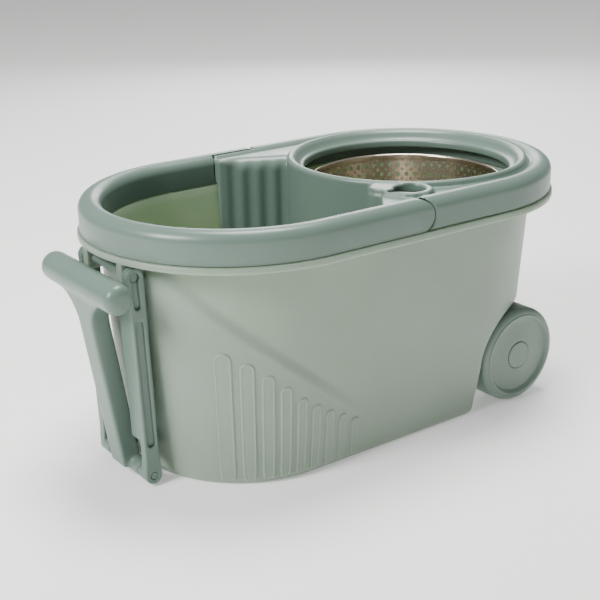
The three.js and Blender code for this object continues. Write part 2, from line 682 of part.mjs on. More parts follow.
const bush = [
  [SPINDLE_RADIUS + GAP, HUB_FLANGE_LOW + GAP],
  [BUSH_OUTER, HUB_FLANGE_LOW + GAP],
  [BUSH_OUTER, HUB_TOP - GAP],
  [SPINDLE_RADIUS + GAP, HUB_TOP - GAP],
];
addPart("hub_bush", atOpening(turned(bush, COARSE)), NATURAL_PLASTIC, 0.4);

const washer = [
  [SPINDLE_RADIUS + GAP, WASHER_LOW],
  [WASHER_RADIUS, WASHER_LOW],
  [WASHER_RADIUS, WASHER_LOW + WASHER_THICK],
  [SPINDLE_RADIUS + GAP, WASHER_LOW + WASHER_THICK],
];
addPart("thrust_washer", atOpening(turned(washer, COARSE)), NATURAL_PLASTIC, 0.4);

const spindleLow = POST_TOP - SPINDLE_BURIED + GAP;
const spindleGroove = CLIP_Z - GAP;
addPart("spindle", atOpening(turned([
  [0, spindleLow],
  [SPINDLE_RADIUS, spindleLow],
  [SPINDLE_RADIUS, spindleGroove],
  [SPINDLE_RADIUS - GROOVE_DEPTH, spindleGroove],
  [SPINDLE_RADIUS - GROOVE_DEPTH, CLIP_Z + CLIP_THICK + GAP],
  [SPINDLE_RADIUS, SPINDLE_TOP],
  [SPINDLE_RADIUS, SPINDLE_TOP + SPINDLE_TIP],
  [0, SPINDLE_TOP + SPINDLE_TIP],
], COARSE)), STEEL_GREY, 0.3, 1);

const spindleClip = [
  [SPINDLE_RADIUS + GAP - GROOVE_DEPTH, CLIP_Z],
  [CLIP_RADIUS, CLIP_Z],
  [CLIP_RADIUS, CLIP_Z + CLIP_THICK],
  [SPINDLE_RADIUS + GAP - GROOVE_DEPTH, CLIP_Z + CLIP_THICK],
];
addPart("spindle_clip", atOpening(turned(spindleClip, COARSE)), STEEL_GREY, 0.3, 1);

// Screws from below through the hub's flange and the basket's floor into the seat.
screwPlaces.forEach(([x, y], i) => {
  const low = HUB_FLANGE_LOW + GAP;
  const screw = turned([
    [0, low],
    [SCREW_HEAD, low],
    [SCREW_HEAD, low + SCREW_HEAD_HEIGHT - GAP],
    [SCREW_SHANK, low + SCREW_HEAD_HEIGHT - GAP],
    [SCREW_SHANK, low + SCREW_HEAD_HEIGHT + SCREW_LENGTH - 1],
    [0, low + SCREW_HEAD_HEIGHT + SCREW_LENGTH],
  ], SCREW_SIDES);
  addPart(`basket_screw_${i + 1}`, atOpening(screw.translate([x, y, 0])), STEEL_GREY, 0.3, 1);
});

// Axle, and the wheels that turn on it. Each wheel is a dished shell, open towards the tub.
const AXLE_BELOW_FACE = 6;
const axleHalf = WHEEL_FACE - AXLE_BELOW_FACE;
addPart("axle", rod(AXLE_RADIUS, 2 * axleHalf, [AXLE_X, 0, AXLE_Z], "y", COARSE), STEEL_GREY, 0.35, 1);

const WHEEL_WEB = 2.2;
const WHEEL_FOOT = 2;
const SHOULDER_ROUND = 6.5;
const SHOULDER_DROP = 0.8;
const SHOULDER_START = Math.PI * 0.42;
const RING_WIDTH = 4;
const CAP_ROOM = 0.8;
const CLIP_ROOM = 2;
const CLIP_ABOVE_SEAT = 0.8;
const CAP_WELL_WALL = 3.2;
const CAP_CROWN = 1.1;
const CAP_CHAMFER = 1.2;
const CLIP_BORE_GAP = 0.1;
const clipSeat = CAP_THICK + WHEEL_WEB + CAP_ROOM + CLIP_THICK + 2 * GAP + CLIP_ROOM;
const capWell = CAP_RADIUS + GAP;
const webBack = WHEEL_WEB + WHEEL_SHELL + WHEEL_FOOT;

// The wheel's profile has its outer face at zero, and the shell lies below that.
function makeWheel() {
  const inside = WHEEL_RADIUS - WHEEL_SHELL;
  const shoulderLow = SHOULDER_ROUND + SHOULDER_DROP;
  return turned([
    [AXLE_RADIUS + GAP, -WHEEL_WIDTH],
    [AXLE_RADIUS + GAP, -clipSeat],
    [capWell, -clipSeat],
    [capWell, -WHEEL_WEB],
    [WHEEL_RING - RING_WIDTH, -WHEEL_WEB],
    [WHEEL_RING - RING_WIDTH / 2, -SHOULDER_DROP / 2],
    [WHEEL_RING - RING_WIDTH / 8, 0],
    [WHEEL_RING + SHOULDER_DROP, -SHOULDER_DROP],
    ...roundPoints(WHEEL_RADIUS - SHOULDER_ROUND, -shoulderLow, SHOULDER_ROUND, SHOULDER_START, 0),
    [WHEEL_RADIUS, WHEEL_FOOT - WHEEL_WIDTH],
    [WHEEL_RADIUS - WHEEL_FOOT / 2, -WHEEL_WIDTH],
    [inside, -WHEEL_WIDTH],
    [inside, -SHOULDER_ROUND - WHEEL_SHELL],
    [WHEEL_RING - RING_WIDTH, -webBack],
    [capWell + CAP_WELL_WALL, -webBack],
    [capWell + CAP_WELL_WALL, -clipSeat - WHEEL_SHELL],
    [HUB_RADIUS, -clipSeat - WHEEL_SHELL],
    [HUB_RADIUS, -WHEEL_WIDTH],
  ], MEDIUM);
}

const cap = [
  [0, -WHEEL_WEB - CAP_THICK],
  [CAP_RADIUS, -WHEEL_WEB - CAP_THICK],
  [CAP_RADIUS, -WHEEL_WEB],
  [CAP_RADIUS - CAP_CHAMFER, CAP_CROWN / 2 - WHEEL_WEB],
  [0, CAP_CROWN - WHEEL_WEB],
];
const clip = [
  [AXLE_RADIUS + CLIP_BORE_GAP, 0],
  [CLIP_RADIUS, 0],
  [CLIP_RADIUS, CLIP_THICK],
  [AXLE_RADIUS + CLIP_BORE_GAP, CLIP_THICK],
];
for (const [side, sign] of [["right", -1], ["left", 1]]) {
  const outward = (body) => body.rotate([sign * -90, 0, 0]).translate([AXLE_X, sign * WHEEL_FACE, AXLE_Z]);
  addPart(`wheel_${side}`, outward(makeWheel()), COVER_GREEN, 0.45);
  addPart(`wheel_cap_${side}`, outward(turned(cap, COARSE)), COVER_GREEN, 0.45);
  const axleClip = turned(clip, MEDIUM).translate([0, 0, CLIP_ABOVE_SEAT - clipSeat]);
  addPart(`axle_clip_${side}`, outward(axleClip), STEEL_GREY, 0.3, 1);
}

// Tow frame: two channelled bars hung from the lugs, joined by a web and ending in a pair of eyes.
const towLean = Math.atan2(TOW_FOOT_X - TOW_TOP_X, TOW_TOP_Z - TOW_FOOT_Z);
const towLength = Math.hypot(TOW_FOOT_X - TOW_TOP_X, TOW_TOP_Z - TOW_FOOT_Z);

function makeTowFrame() {
  const barShape = new THREE.Shape();
  barShape.moveTo(-FOOT_EYE, 0);
  barShape.absarc(0, 0, FOOT_EYE, Math.PI, 2 * Math.PI, false);
  barShape.lineTo(BAR_DEPTH / 2, BAR_SHOULDER);
  barShape.absarc(0, towLength, TOP_EYE, 0, Math.PI, false);
  barShape.lineTo(-BAR_DEPTH / 2, towLength - 2 * TOP_EYE);
  barShape.lineTo(-BAR_DEPTH / 2, BAR_SHOULDER);
  const channel = box(
    [-CHANNEL_WIDTH / 2, BAR_OUTER - CHANNEL_DEPTH, CHANNEL_START],
    [CHANNEL_WIDTH / 2, FAR, towLength - SLOT_LENGTH - TOP_EYE],
  );
  const slot = box(
    [-SLOT_WIDTH / 2, BAR_OUTER - CHANNEL_DEPTH, towLength - SLOT_LENGTH],
    [SLOT_WIDTH / 2, FAR, towLength],
  );
  const bar = slabAlongY(barShape, BAR_INNER, BAR_OUTER).subtract(channel).subtract(slot);
  const eye = rod(FOOT_EYE, FOOT_EYE_LENGTH, [0, BAR_OUTER - FOOT_EYE_LENGTH / 2, 0], "y", MEDIUM);
  const flange = box(
    [-BAR_DEPTH / 2, BAR_FLANGE_INNER, WEB_HIGH],
    [BAR_FLANGE_THICK - BAR_DEPTH / 2, BAR_INNER + OVERLAP, towLength - BAR_FLANGE_BELOW_TOP],
  );
  const half = bar.add(eye).add(flange);
  const web = box([BAR_DEPTH / 2 - WEB_THICK, -BAR_INNER - OVERLAP, WEB_LOW], [BAR_DEPTH / 2, BAR_INNER + OVERLAP, WEB_HIGH]);
  return half
    .add(half.mirror([0, 1, 0]))
    .add(web)
    .subtract(rod(TOP_PIN + GAP, FAR, [0, 0, towLength], "y", COARSE))
    .subtract(rod(FOOT_PIN + GAP, FAR, [0, 0, 0], "y", COARSE))
    .rotate([0, THREE.MathUtils.radToDeg(-towLean), 0])
    .translate([TOW_FOOT_X, 0, TOW_FOOT_Z]);
}

addPart("tow_frame", makeTowFrame(), COVER_GREEN, 0.4);
const topPinLength = 2 * (BAR_OUTER - CHANNEL_DEPTH);
const footPinLength = 2 * (BAR_OUTER - PIN_RECESS);
addPart("tow_top_pin", rod(TOP_PIN, topPinLength, [TOW_TOP_X, 0, TOW_TOP_Z], "y", COARSE), COVER_GREEN, 0.4);
addPart("tow_foot_pin", rod(FOOT_PIN, footPinLength, [TOW_FOOT_X, 0, TOW_FOOT_Z], "y", COARSE), COVER_GREEN, 0.4);

// Tow handle: a stem that widens in two gussets to a cross grip, hinged between the frame's eyes.
// It is drawn in Y and height, then leaned forward about its hub.
function makeTowHandle() {
  const gripLow = GRIP_REACH - GRIP_RADIUS * 0.75;
  const half = STEM_WIDTH / 2;
  const shape = new THREE.Shape();
  shape.moveTo(half, 0);
  shape.lineTo(half, gripLow - GUSSET_RADIUS);
  shape.absarc(half + GUSSET_RADIUS, gripLow - GUSSET_RADIUS, GUSSET_RADIUS, Math.PI, Math.PI / 2, true);
  shape.lineTo(half + GUSSET_RADIUS, GRIP_REACH);
  shape.lineTo(-half - GUSSET_RADIUS, GRIP_REACH);
  shape.lineTo(-half - GUSSET_RADIUS, gripLow);
  shape.absarc(-half - GUSSET_RADIUS, gripLow - GUSSET_RADIUS, GUSSET_RADIUS, Math.PI / 2, 0, true);
  shape.lineTo(-half, 0);
  const placed = slabAlongZ(shape, -STEM_DEPTH / 2, STEM_DEPTH / 2)
    .rotate([90, 0, 0])
    .rotate([0, 0, 90])
    .translate([-GRIP_FORWARD, 0, 0]);
  const gripHalf = GRIP_LENGTH / 2;
  const straight = gripHalf - GRIP_END_ROUND;
  const ends = [
    ...roundPoints(GRIP_RADIUS - GRIP_END_ROUND, straight, GRIP_END_ROUND, 0, Math.PI / 2),
    [0, gripHalf],
    [0, -gripHalf],
    ...roundPoints(GRIP_RADIUS - GRIP_END_ROUND, -straight, GRIP_END_ROUND, -Math.PI / 2, 0),
  ];
  const grip = turned(ends, MEDIUM).rotate([90, 0, 0]).translate([-GRIP_FORWARD, 0, GRIP_REACH]);
  const hub = rod(HANDLE_HUB, 2 * (FOOT_EYE_INNER - HANDLE_HUB_GAP), [0, 0, 0], "y", MEDIUM);
  return placed
    .add(grip)
    .add(hub)
    .subtract(rod(FOOT_PIN + GAP, FAR, [0, 0, 0], "y", COARSE))
    .rotate([0, THREE.MathUtils.radToDeg(-GRIP_LEAN), 0])
    .translate([TOW_FOOT_X, 0, TOW_FOOT_Z]);
}

addPart("tow_handle", makeTowHandle(), COVER_GREEN, 0.4);

export default parts;
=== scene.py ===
import math

import bmesh
import bpy
import numpy as np
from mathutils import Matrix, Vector


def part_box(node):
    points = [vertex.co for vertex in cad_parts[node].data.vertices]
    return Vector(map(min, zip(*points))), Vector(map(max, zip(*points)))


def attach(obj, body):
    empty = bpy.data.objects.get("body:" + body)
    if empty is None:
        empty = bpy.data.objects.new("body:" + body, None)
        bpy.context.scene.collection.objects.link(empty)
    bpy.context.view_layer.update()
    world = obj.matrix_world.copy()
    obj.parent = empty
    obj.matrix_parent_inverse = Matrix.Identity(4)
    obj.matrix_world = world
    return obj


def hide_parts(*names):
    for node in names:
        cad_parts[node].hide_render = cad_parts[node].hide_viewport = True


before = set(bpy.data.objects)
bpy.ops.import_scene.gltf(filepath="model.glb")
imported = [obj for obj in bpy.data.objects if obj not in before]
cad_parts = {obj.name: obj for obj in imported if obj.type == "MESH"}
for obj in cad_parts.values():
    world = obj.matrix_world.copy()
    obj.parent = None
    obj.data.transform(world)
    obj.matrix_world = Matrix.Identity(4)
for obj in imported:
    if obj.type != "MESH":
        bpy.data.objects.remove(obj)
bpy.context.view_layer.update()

# Camera: a long lens from the front left corner, a little above the rim. It looks at a point near the
# tub's middle, and its picture is shifted in the frame.
CAMERA_AZIMUTH = math.radians(-35.13)
CAMERA_ELEVATION = math.radians(22.3)
CAMERA_ROLL = -0.0227
CAMERA_DISTANCE = 1.1054
CAMERA_TARGET = Vector((-0.0226, 0.0400, 0.0513))
CAMERA_LENS = 68.9
CAMERA_SENSOR = 36.0
CAMERA_SHIFT = (0.0295, 0.0785)
camera_data = bpy.data.cameras.new("camera")
camera_data.lens = CAMERA_LENS
camera_data.sensor_width = CAMERA_SENSOR
camera_data.shift_x, camera_data.shift_y = CAMERA_SHIFT
camera = bpy.data.objects.new("camera", camera_data)
bpy.context.collection.objects.link(camera)
towards_camera = Vector((
    math.sin(CAMERA_AZIMUTH) * math.cos(CAMERA_ELEVATION),
    -math.cos(CAMERA_AZIMUTH) * math.cos(CAMERA_ELEVATION),
    math.sin(CAMERA_ELEVATION),
))
camera.location = CAMERA_TARGET + CAMERA_DISTANCE * towards_camera
camera.rotation_euler = towards_camera.to_track_quat("Z", "Y").to_matrix().to_4x4().to_euler()
camera.rotation_euler.rotate_axis("Z", CAMERA_ROLL)
bpy.context.scene.camera = camera


# Tub: injection-moulded translucent polypropylene, one drafted oval shell with a rolled flange. Both long
# sides have pressed panels. Arches clear the wheels, cheeks hold the axle, a post carries the basket, and
# lugs hold the tow frame.
MM = 0.001


def linear(hex_colour):
    """sRGB hex to linear RGBA: the low part is divided by 12.92, the rest follows the 2.4 power curve."""
    value = np.array([int(hex_colour[i:i + 2], 16) for i in (1, 3, 5)]) / 255.0
    low = value / 12.92
    high = ((value + 0.055) / 1.055) ** 2.4
    return (*np.where(value <= 0.04045, low, high).tolist(), 1.0)


def add_node(tree, kind, links=None, **settings):
    """Adds a node, sets its properties or input sockets by name, and links its inputs from other sockets."""
    node = tree.nodes.new(kind)
    for name, value in settings.items():
        if hasattr(node, name):
            setattr(node, name, value)
        else:
            node.inputs[name.replace("_", " ")].default_value = value
    for name, source in (links or {}).items():
        socket = node.inputs[name] if isinstance(name, int) else node.inputs[name.replace("_", " ")]
        tree.links.new(source, socket)
    return node


def empty_material(name):
    """A material with no nodes in it yet, and its tree."""
    material = bpy.data.materials.new(name)
    material.use_nodes = True
    material.node_tree.nodes.clear()
    return material, material.node_tree


def moulded_polypropylene(name, colour, shade, roughness, glow=0.0):
    """Injection-moulded polypropylene: an even satin skin, faint flow clouds in the colour, a fine eroded
    grain and light rubbing that changes the gloss in patches."""
    material, tree = empty_material(name)
    output = add_node(tree, "ShaderNodeOutputMaterial")
    place = add_node(tree, "ShaderNodeTexCoord").outputs["Object"]
    clouds = add_node(tree, "ShaderNodeTexNoise", {"Vector": place}, Scale=14.0, Detail=3.0, Roughness=0.55)
    tint = add_node(tree, "ShaderNodeMix", {"Factor": clouds.outputs["Fac"]}, data_type="RGBA")
    tint.inputs[6].default_value = linear(shade)
    tint.inputs[7].default_value = linear(colour)
    # Mould grain of about 0.5 mm, and rubbed patches of about 40 mm.
    grain = add_node(tree, "ShaderNodeTexNoise", {"Vector": place}, Scale=1900.0, Detail=2.0, Roughness=0.5)
    rubbed = add_node(tree, "ShaderNodeTexNoise", {"Vector": place}, Scale=25.0, Detail=5.0, Roughness=0.65)
    gloss = add_node(tree, "ShaderNodeMapRange", {"Value": rubbed.outputs["Fac"]})
    gloss.inputs["From Min"].default_value = 0.3
    gloss.inputs["From Max"].default_value = 0.7
    gloss.inputs["To Min"].default_value = roughness - 0.05
    gloss.inputs["To Max"].default_value = roughness + 0.06
    bump = add_node(tree, "ShaderNodeBump", {"Height": grain.outputs["Fac"]}, Strength=0.12, Distance=0.0002)
    shader = add_node(tree, "ShaderNodeBsdfPrincipled", {
        "Base Color": tint.outputs[2],
        "Roughness": gloss.outputs["Result"],
        "Normal": bump.outputs["Normal"],
    }, IOR=1.49)
    shader.inputs["Subsurface Weight"].default_value = glow
    shader.inputs["Subsurface Radius"].default_value = (0.9, 1.0, 0.7)
    shader.inputs["Subsurface Scale"].default_value = 0.012
    tree.links.new(shader.outputs["BSDF"], output.inputs["Surface"])
    return material


def mesh_piece(name, points, faces):
    """A mesh object from an array of points and lists of faces, turned so that its volume is positive."""
    mesh = bpy.data.meshes.new(name)
    mesh.from_pydata(points.reshape(-1, 3).tolist(), [], faces)
    mesh.validate()
    bm = bmesh.new()
    bm.from_mesh(mesh)
    bmesh.ops.recalc_face_normals(bm, faces=bm.faces)
    bm.to_mesh(mesh)
    bm.free()
    piece = bpy.data.objects.new(name, mesh)
    bpy.context.collection.objects.link(piece)
    return piece


def ring_piece(name, rings, joined=False):
    """Rings of points, each joined to the next: quads between them, and a cap at both ends unless the last
    ring is joined to the first."""
    count, around = rings.shape[:2]
    first = np.arange(count if joined else count - 1)[:, None]
    column = np.arange(around)[None, :]
    after = (first + 1) % count
    beside = (column + 1) % around
    quads = np.stack([
        first * around + column,
        first * around + beside,
        after * around + beside,
        after * around + column,
    ], axis=-1).reshape(-1, 4).tolist()
    if not joined:
        quads += [list(range(around)), [(count - 1) * around + i for i in range(around)]]
    return mesh_piece(name, rings, quads)


def oval_rings(levels, middle, steps=72):
    """Radius and height pairs carried round the oval: two half circles about x = +middle and x = -middle."""
    angle = np.concatenate([
        np.linspace(-math.pi / 2, math.pi / 2, steps),
        np.linspace(math.pi / 2, 3 * math.pi / 2, steps),
    ])
    centre = np.repeat([middle, -middle], steps)
    radius = np.array([level[0] for level in levels])[:, None]
    height = np.array([level[1] for level in levels])[:, None]
    x = centre[None, :] + radius * np.cos(angle)[None, :]
    y = radius * np.sin(angle)[None, :]
    return np.stack([x, y, np.broadcast_to(height, x.shape)], axis=-1)


def extrude_piece(name, outline, low, high, along):
    """A flat outline given a thickness. Along "y" it is drawn in X and Z, along "z" in X and Y."""
    flat = np.array(outline, float)
    rings = np.zeros((2, len(flat), 3))
    first, second, depth = (0, 2, 1) if along == "y" else (0, 1, 2)
    rings[:, :, first] = flat[:, 0]
    rings[:, :, second] = flat[:, 1]
    rings[0, :, depth] = low
    rings[1, :, depth] = high
    return ring_piece(name, rings)


def arc(centre, radius, start, end, steps=24):
    """Points of a circular arc from one angle to another, in degrees."""
    angle = np.radians(np.linspace(start, end, steps))
    return [(centre[0] + radius * math.cos(a), centre[1] + radius * math.sin(a)) for a in angle]


def box_piece(name, low, high):
    """A box between two corners."""
    outline = [(low[0], low[1]), (high[0], low[1]), (high[0], high[1]), (low[0], high[1])]
    return extrude_piece(name, outline, low[2], high[2], "z")


def rod_piece(name, centre, radius, length, along, steps=48):
    """A cylinder along y or z about a point."""
    flat = (centre[0], centre[2]) if along == "y" else (centre[0], centre[1])
    middle = centre[1] if along == "y" else centre[2]
    outline = arc(flat, radius, 0, 360 * (1 - 1 / steps), steps)
    return extrude_piece(name, outline, middle - length / 2, middle + length / 2, along)


def combine(piece, tool, operation):
    """Joins, cuts or keeps the common part of two closed solids, and removes the tool."""
    step = piece.modifiers.new("combine", "BOOLEAN")
    step.operation = operation
    step.object = tool
    step.solver = "MANIFOLD"
    return settle(piece, tool)


def settle(piece, *tools):
    """Applies a piece's modifiers to its mesh and removes the tools that they used."""
    graph = bpy.context.evaluated_depsgraph_get()
    mesh = bpy.data.meshes.new_from_object(piece.evaluated_get(graph), depsgraph=graph)
    piece.modifiers.clear()
    old = piece.data
    piece.data = mesh
    bpy.data.meshes.remove(old)
    for tool in tools:
        bpy.data.objects.remove(tool)
    return piece


def cut(piece, tool):
    """Takes the tool away from the piece."""
    return combine(piece, tool, "DIFFERENCE")


def join(piece, tool):
    """Adds the tool to the piece."""
    return combine(piece, tool, "UNION")


def keep(piece, tool):
    """Keeps the part of the piece that is inside the tool."""
    return combine(piece, tool, "INTERSECT")


def smooth_by_angle(piece, degrees=32):
    """Smooth shading, with edges sharper than the angle kept crisp."""
    mesh = piece.data
    mesh.polygons.foreach_set("use_smooth", np.ones(len(mesh.polygons), bool))
    mesh.set_sharp_from_angle(angle=math.radians(degrees))


def soften(piece, voxel, rounds):
    """Rebuilds a solid on a fine grid and relaxes it, which rounds its edges as a mould does."""
    remesh = piece.modifiers.new("remesh", "REMESH")
    remesh.mode = "VOXEL"
    remesh.voxel_size = voxel
    relax = piece.modifiers.new("relax", "SMOOTH")
    relax.factor = 0.5
    relax.iterations = rounds
    settle(piece)
    piece.data.polygons.foreach_set("use_smooth", np.ones(len(piece.data.polygons), bool))
    return piece


def finish_piece(piece, material, body, slot, *nodes):
    """Gives a piece its material and its body, and hides the CAD nodes that it stands for. The slot is not
    used.
    """
    piece.data.materials.clear()
    piece.data.materials.append(material)
    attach(piece, body)
    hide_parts(*nodes)


tub_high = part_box("tub")[1]
END_RADIUS = tub_high[1]
MIDDLE = tub_high[0] - END_RADIUS
FLANGE_TOP = tub_high[2]
FLANGE_LOW = FLANGE_TOP - 5.5 * MM
FLANGE_PLATE = 2.5 * MM
NECK_ROUND = 1.5 * MM
OVERHANG = 20 * MM
WALL = 2.8 * MM
DRAFT = math.tan(math.radians(3.6))
FOOT_ROUND = 5 * MM
INNER_FOOT_ROUND = 6 * MM
ARCH_CORNER = 8 * MM
ARCH_FOOT_SLOPE = 6 * MM
CHEEK_RADIUS = 11 * MM
CHEEK_THICK = 6 * MM
LUG_INNER = 25 * MM
LUG_OUTER = 33 * MM
LUG_FORWARD = 7 * MM
LUG_HEIGHT = 23 * MM
POST_RADIUS = 14 * MM
SPINDLE_BORE = 5.3 * MM
AXLE_BORE = 4.3 * MM
PIN_BORE = 3.8 * MM
wheel_low, wheel_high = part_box("wheel_right")
WHEEL_RADIUS = (wheel_high[0] - wheel_low[0]) / 2
AXLE_X = (wheel_low[0] + wheel_high[0]) / 2
AXLE_Z = (wheel_low[2] + wheel_high[2]) / 2
ARCH_RADIUS = WHEEL_RADIUS + 3.5 * MM
FAR = 0.5


def wall_radius(z):
    """The tub's outside radius at a height: it narrows evenly towards the floor."""
    return END_RADIUS - OVERHANG - (FLANGE_LOW - z) * DRAFT


def kept_side(inset):
    """The tub's side view: flat underside, rounded foot, the arch over the axle and the shelf behind."""
    radius = ARCH_RADIUS + inset
    foot = AXLE_X - radius - ARCH_FOOT_SLOPE
    outline = [(-FAR, inset)]
    outline += arc((foot - ARCH_CORNER, inset + ARCH_CORNER), ARCH_CORNER, -90, 0, 12)
    outline += arc((AXLE_X, AXLE_Z), radius, 180, 90, 48)
    outline += [(FAR, AXLE_Z + radius), (FAR, FAR), (-FAR, FAR)]
    return extrude_piece("kept_side", outline, -FAR, FAR, "y")


PANEL_LEFT = np.array([-184.7, -163.9, -145.9, -129.6, -114.2, -99.2, -84.2, -69.7, -55.3]) * MM
PANEL_RIGHT = np.array([-169.9, -151.2, -134.4, -119.0, -104.0, -89.4, -74.8, -60.7, -46.3]) * MM
PANEL_TOP = np.array([123.6, 114.1, 102.1, 89.5, 76.5, 66.5, 57.1, 48.8, 41.0]) * MM
PANEL_FOOT = 9 * MM
PANEL_PROUD = 1.3 * MM
PANEL_EDGE = 0.42 * MM
FOLD_PROUD = 3.0 * MM
PANELS_FROM = -190 * MM
PANELS_TO = -42 * MM
FINE_STEP = 0.45 * MM


def smooth_step(value):
    """0 below 0, 1 above 1, and three squares less two cubes between."""
    value = np.clip(value, 0, 1)
    return value * value * (3 - 2 * value)


def panel_relief(along, z):
    """How far the wall stands out at a distance along the oval and a height. Nine round-topped panels have a
    raised lip round a slightly hollow field. A soft diagonal fold runs down from the flange."""
    relief = np.zeros_like(along)
    for left, right, top in zip(PANEL_LEFT, PANEL_RIGHT, PANEL_TOP):
        half = (right - left) / 2
        reach = np.clip(z, PANEL_FOOT + half, top - half)
        flat_foot = np.where(z < PANEL_FOOT + half, 0.35, 1.0)
        distance = half - np.hypot(along - (left + right) / 2, (z - reach) * flat_foot)
        step = smooth_step(distance / (2 * PANEL_EDGE) + 0.5)
        lip = np.exp(-((distance - 1.1 * MM) / (0.8 * MM)) ** 2)
        relief = np.maximum(relief, step * (0.6 + 0.4 * lip))
    fold = (z - 182 * MM) + (along + 215 * MM) * 0.78
    fold_line = smooth_step(0.5 - fold / (15 * MM))
    fade = smooth_step((-25 * MM - along) / (70 * MM)) * smooth_step((z + 20 * MM) / (60 * MM))
    return PANEL_PROUD * relief + FOLD_PROUD * fold_line * fade


def tub_outside():
    """The outer solid: a fine grid on the wall where the panels are, coarser elsewhere, and the flange."""
    heights = np.concatenate([
        np.linspace(6 * MM, 126 * MM, 161),
        np.linspace(129 * MM, FLANGE_TOP - 4.5 * MM, 22),
    ])
    foot = [(wall_radius(0) - FOOT_ROUND * (1 - math.sin(a)), FOOT_ROUND * (1 - math.cos(a)))
            for a in np.linspace(0, math.pi / 2, 6)[:-1]]
    levels = foot + [(wall_radius(z), z) for z in heights]
    under = FLANGE_TOP - FLANGE_PLATE
    neck = wall_radius(under)
    levels += [(neck + NECK_ROUND * (1 - math.cos(a)), under - NECK_ROUND * (1 - math.sin(a)))
               for a in np.linspace(0, math.pi / 2, 5)]
    lip = END_RADIUS
    levels += [
        (lip - 2.8 * MM, under),
        (lip - 2.5 * MM, under - 0.3 * MM),
        (lip - 2.5 * MM, FLANGE_LOW + 0.5 * MM),
        (lip - 2.0 * MM, FLANGE_LOW),
        (lip - 0.8 * MM, FLANGE_LOW),
        (lip - 0.2 * MM, FLANGE_LOW + 0.3 * MM),
        (lip, FLANGE_LOW + 1.0 * MM),
        (lip, FLANGE_TOP - 1.2 * MM),
        (lip - 0.4 * MM, FLANGE_TOP - 0.4 * MM),
        (lip - 1.2 * MM, FLANGE_TOP),
    ]
    # Stations round the oval: direction, centre and distance along from the middle of the near side.
    # The panelled stretches are stepped finely, the rest at a few millimetres.
    end_length = (END_RADIUS - OVERHANG) * math.pi / 2
    quarter = np.concatenate([
        np.linspace(-MIDDLE - end_length, PANELS_FROM, 26)[:-1],
        np.arange(PANELS_FROM, PANELS_TO, FINE_STEP),
        np.linspace(PANELS_TO, MIDDLE, 30),
        np.linspace(MIDDLE, MIDDLE + end_length, 50)[1:],
    ])
    past_middle = np.clip(np.abs(quarter) - MIDDLE, 0, end_length)
    bend = past_middle / (END_RADIUS - OVERHANG) * np.sign(quarter)
    near_x = np.sin(bend)
    near_y = -np.cos(bend)
    centre = np.clip(quarter, -MIDDLE, MIDDLE)
    direction_x = np.concatenate([near_x, near_x[::-1][1:-1]])
    direction_y = np.concatenate([near_y, -near_y[::-1][1:-1]])
    centre = np.concatenate([centre, centre[::-1][1:-1]])
    along = np.concatenate([quarter, quarter[::-1][1:-1]])
    radius = np.array([level[0] for level in levels])[:, None]
    height = np.array([level[1] for level in levels])[:, None]
    relief = panel_relief(along[None, :] + 0 * height, height + 0 * along[None, :])
    above_foot = smooth_step((height - 4 * MM) / (3 * MM))
    below_flange = smooth_step((FLANGE_LOW - 6 * MM - height) / (8 * MM))
    reach = radius + relief * above_foot * below_flange
    x = centre[None, :] + reach * direction_x[None, :]
    y = reach * direction_y[None, :]
    return ring_piece("tub_shell", np.stack([x, y, height + 0 * x], axis=-1))


tub = keep(tub_outside(), kept_side(0))
inside_top = wall_radius(FLANGE_TOP) - WALL
inner_radius = wall_radius(WALL) - WALL
inner_foot = [
    (inner_radius - INNER_FOOT_ROUND * (1 - math.sin(a)), WALL + INNER_FOOT_ROUND * (1 - math.cos(a)))
    for a in np.linspace(0, math.pi / 2, 6)
]
inner_wall = [(wall_radius(z) - WALL, z) for z in np.linspace(12 * MM, FLANGE_TOP - 2 * MM, 24)]
inner_lip = [
    (inside_top + 0.5 * MM, FLANGE_TOP - 0.7 * MM),
    (inside_top + 1.6 * MM, FLANGE_TOP),
    (inside_top + 1.6 * MM, FLANGE_TOP + 5 * MM),
]
cavity = ring_piece("cavity", oval_rings(inner_foot + inner_wall + inner_lip, MIDDLE))
cavity = keep(cavity, kept_side(WALL))
cheek_far = abs(wheel_high[1]) - 1 * MM
cheek_top = AXLE_Z + ARCH_RADIUS + WALL / 2
cheek_outline = [(AXLE_X + 2 * CHEEK_RADIUS, cheek_top), (AXLE_X - 2 * CHEEK_RADIUS, cheek_top)]
cheek_outline += arc((AXLE_X, AXLE_Z), CHEEK_RADIUS, 180, 360, 24)
for low, high in ((-cheek_far, -cheek_far + CHEEK_THICK), (cheek_far - CHEEK_THICK, cheek_far)):
    join(tub, extrude_piece("cheek", cheek_outline, low, high, "y"))
pin_low, pin_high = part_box("tow_top_pin")
PIN_X = (pin_low[0] + pin_high[0]) / 2
PIN_Z = (pin_low[2] + pin_high[2]) / 2
LUG_TOP = FLANGE_TOP - 1.25 * MM
lug_back = -MIDDLE - wall_radius(PIN_Z) + 2 * WALL + 4 * MM
for low, high in ((LUG_INNER, LUG_OUTER), (-LUG_OUTER, -LUG_INNER)):
    lug_corner = (PIN_X - LUG_FORWARD, low, LUG_TOP - LUG_HEIGHT)
    join(tub, box_piece("lug", lug_corner, (lug_back, high, LUG_TOP)))
cut(tub, cavity)
post_low, post_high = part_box("spindle")
POST_X = (post_low[0] + post_high[0]) / 2
POST_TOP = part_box("thrust_washer")[0][2] - 0.3 * MM
post = rod_piece("post", (POST_X, 0, POST_TOP / 2), POST_RADIUS, POST_TOP, "z")
join(tub, keep(post, kept_side(0)))
cut(tub, rod_piece("bore", (POST_X, 0, POST_TOP), SPINDLE_BORE, 48 * MM, "z", 24))
cut(tub, rod_piece("axle_bore", (AXLE_X, 0, AXLE_Z), AXLE_BORE, 2 * END_RADIUS, "y", 24))
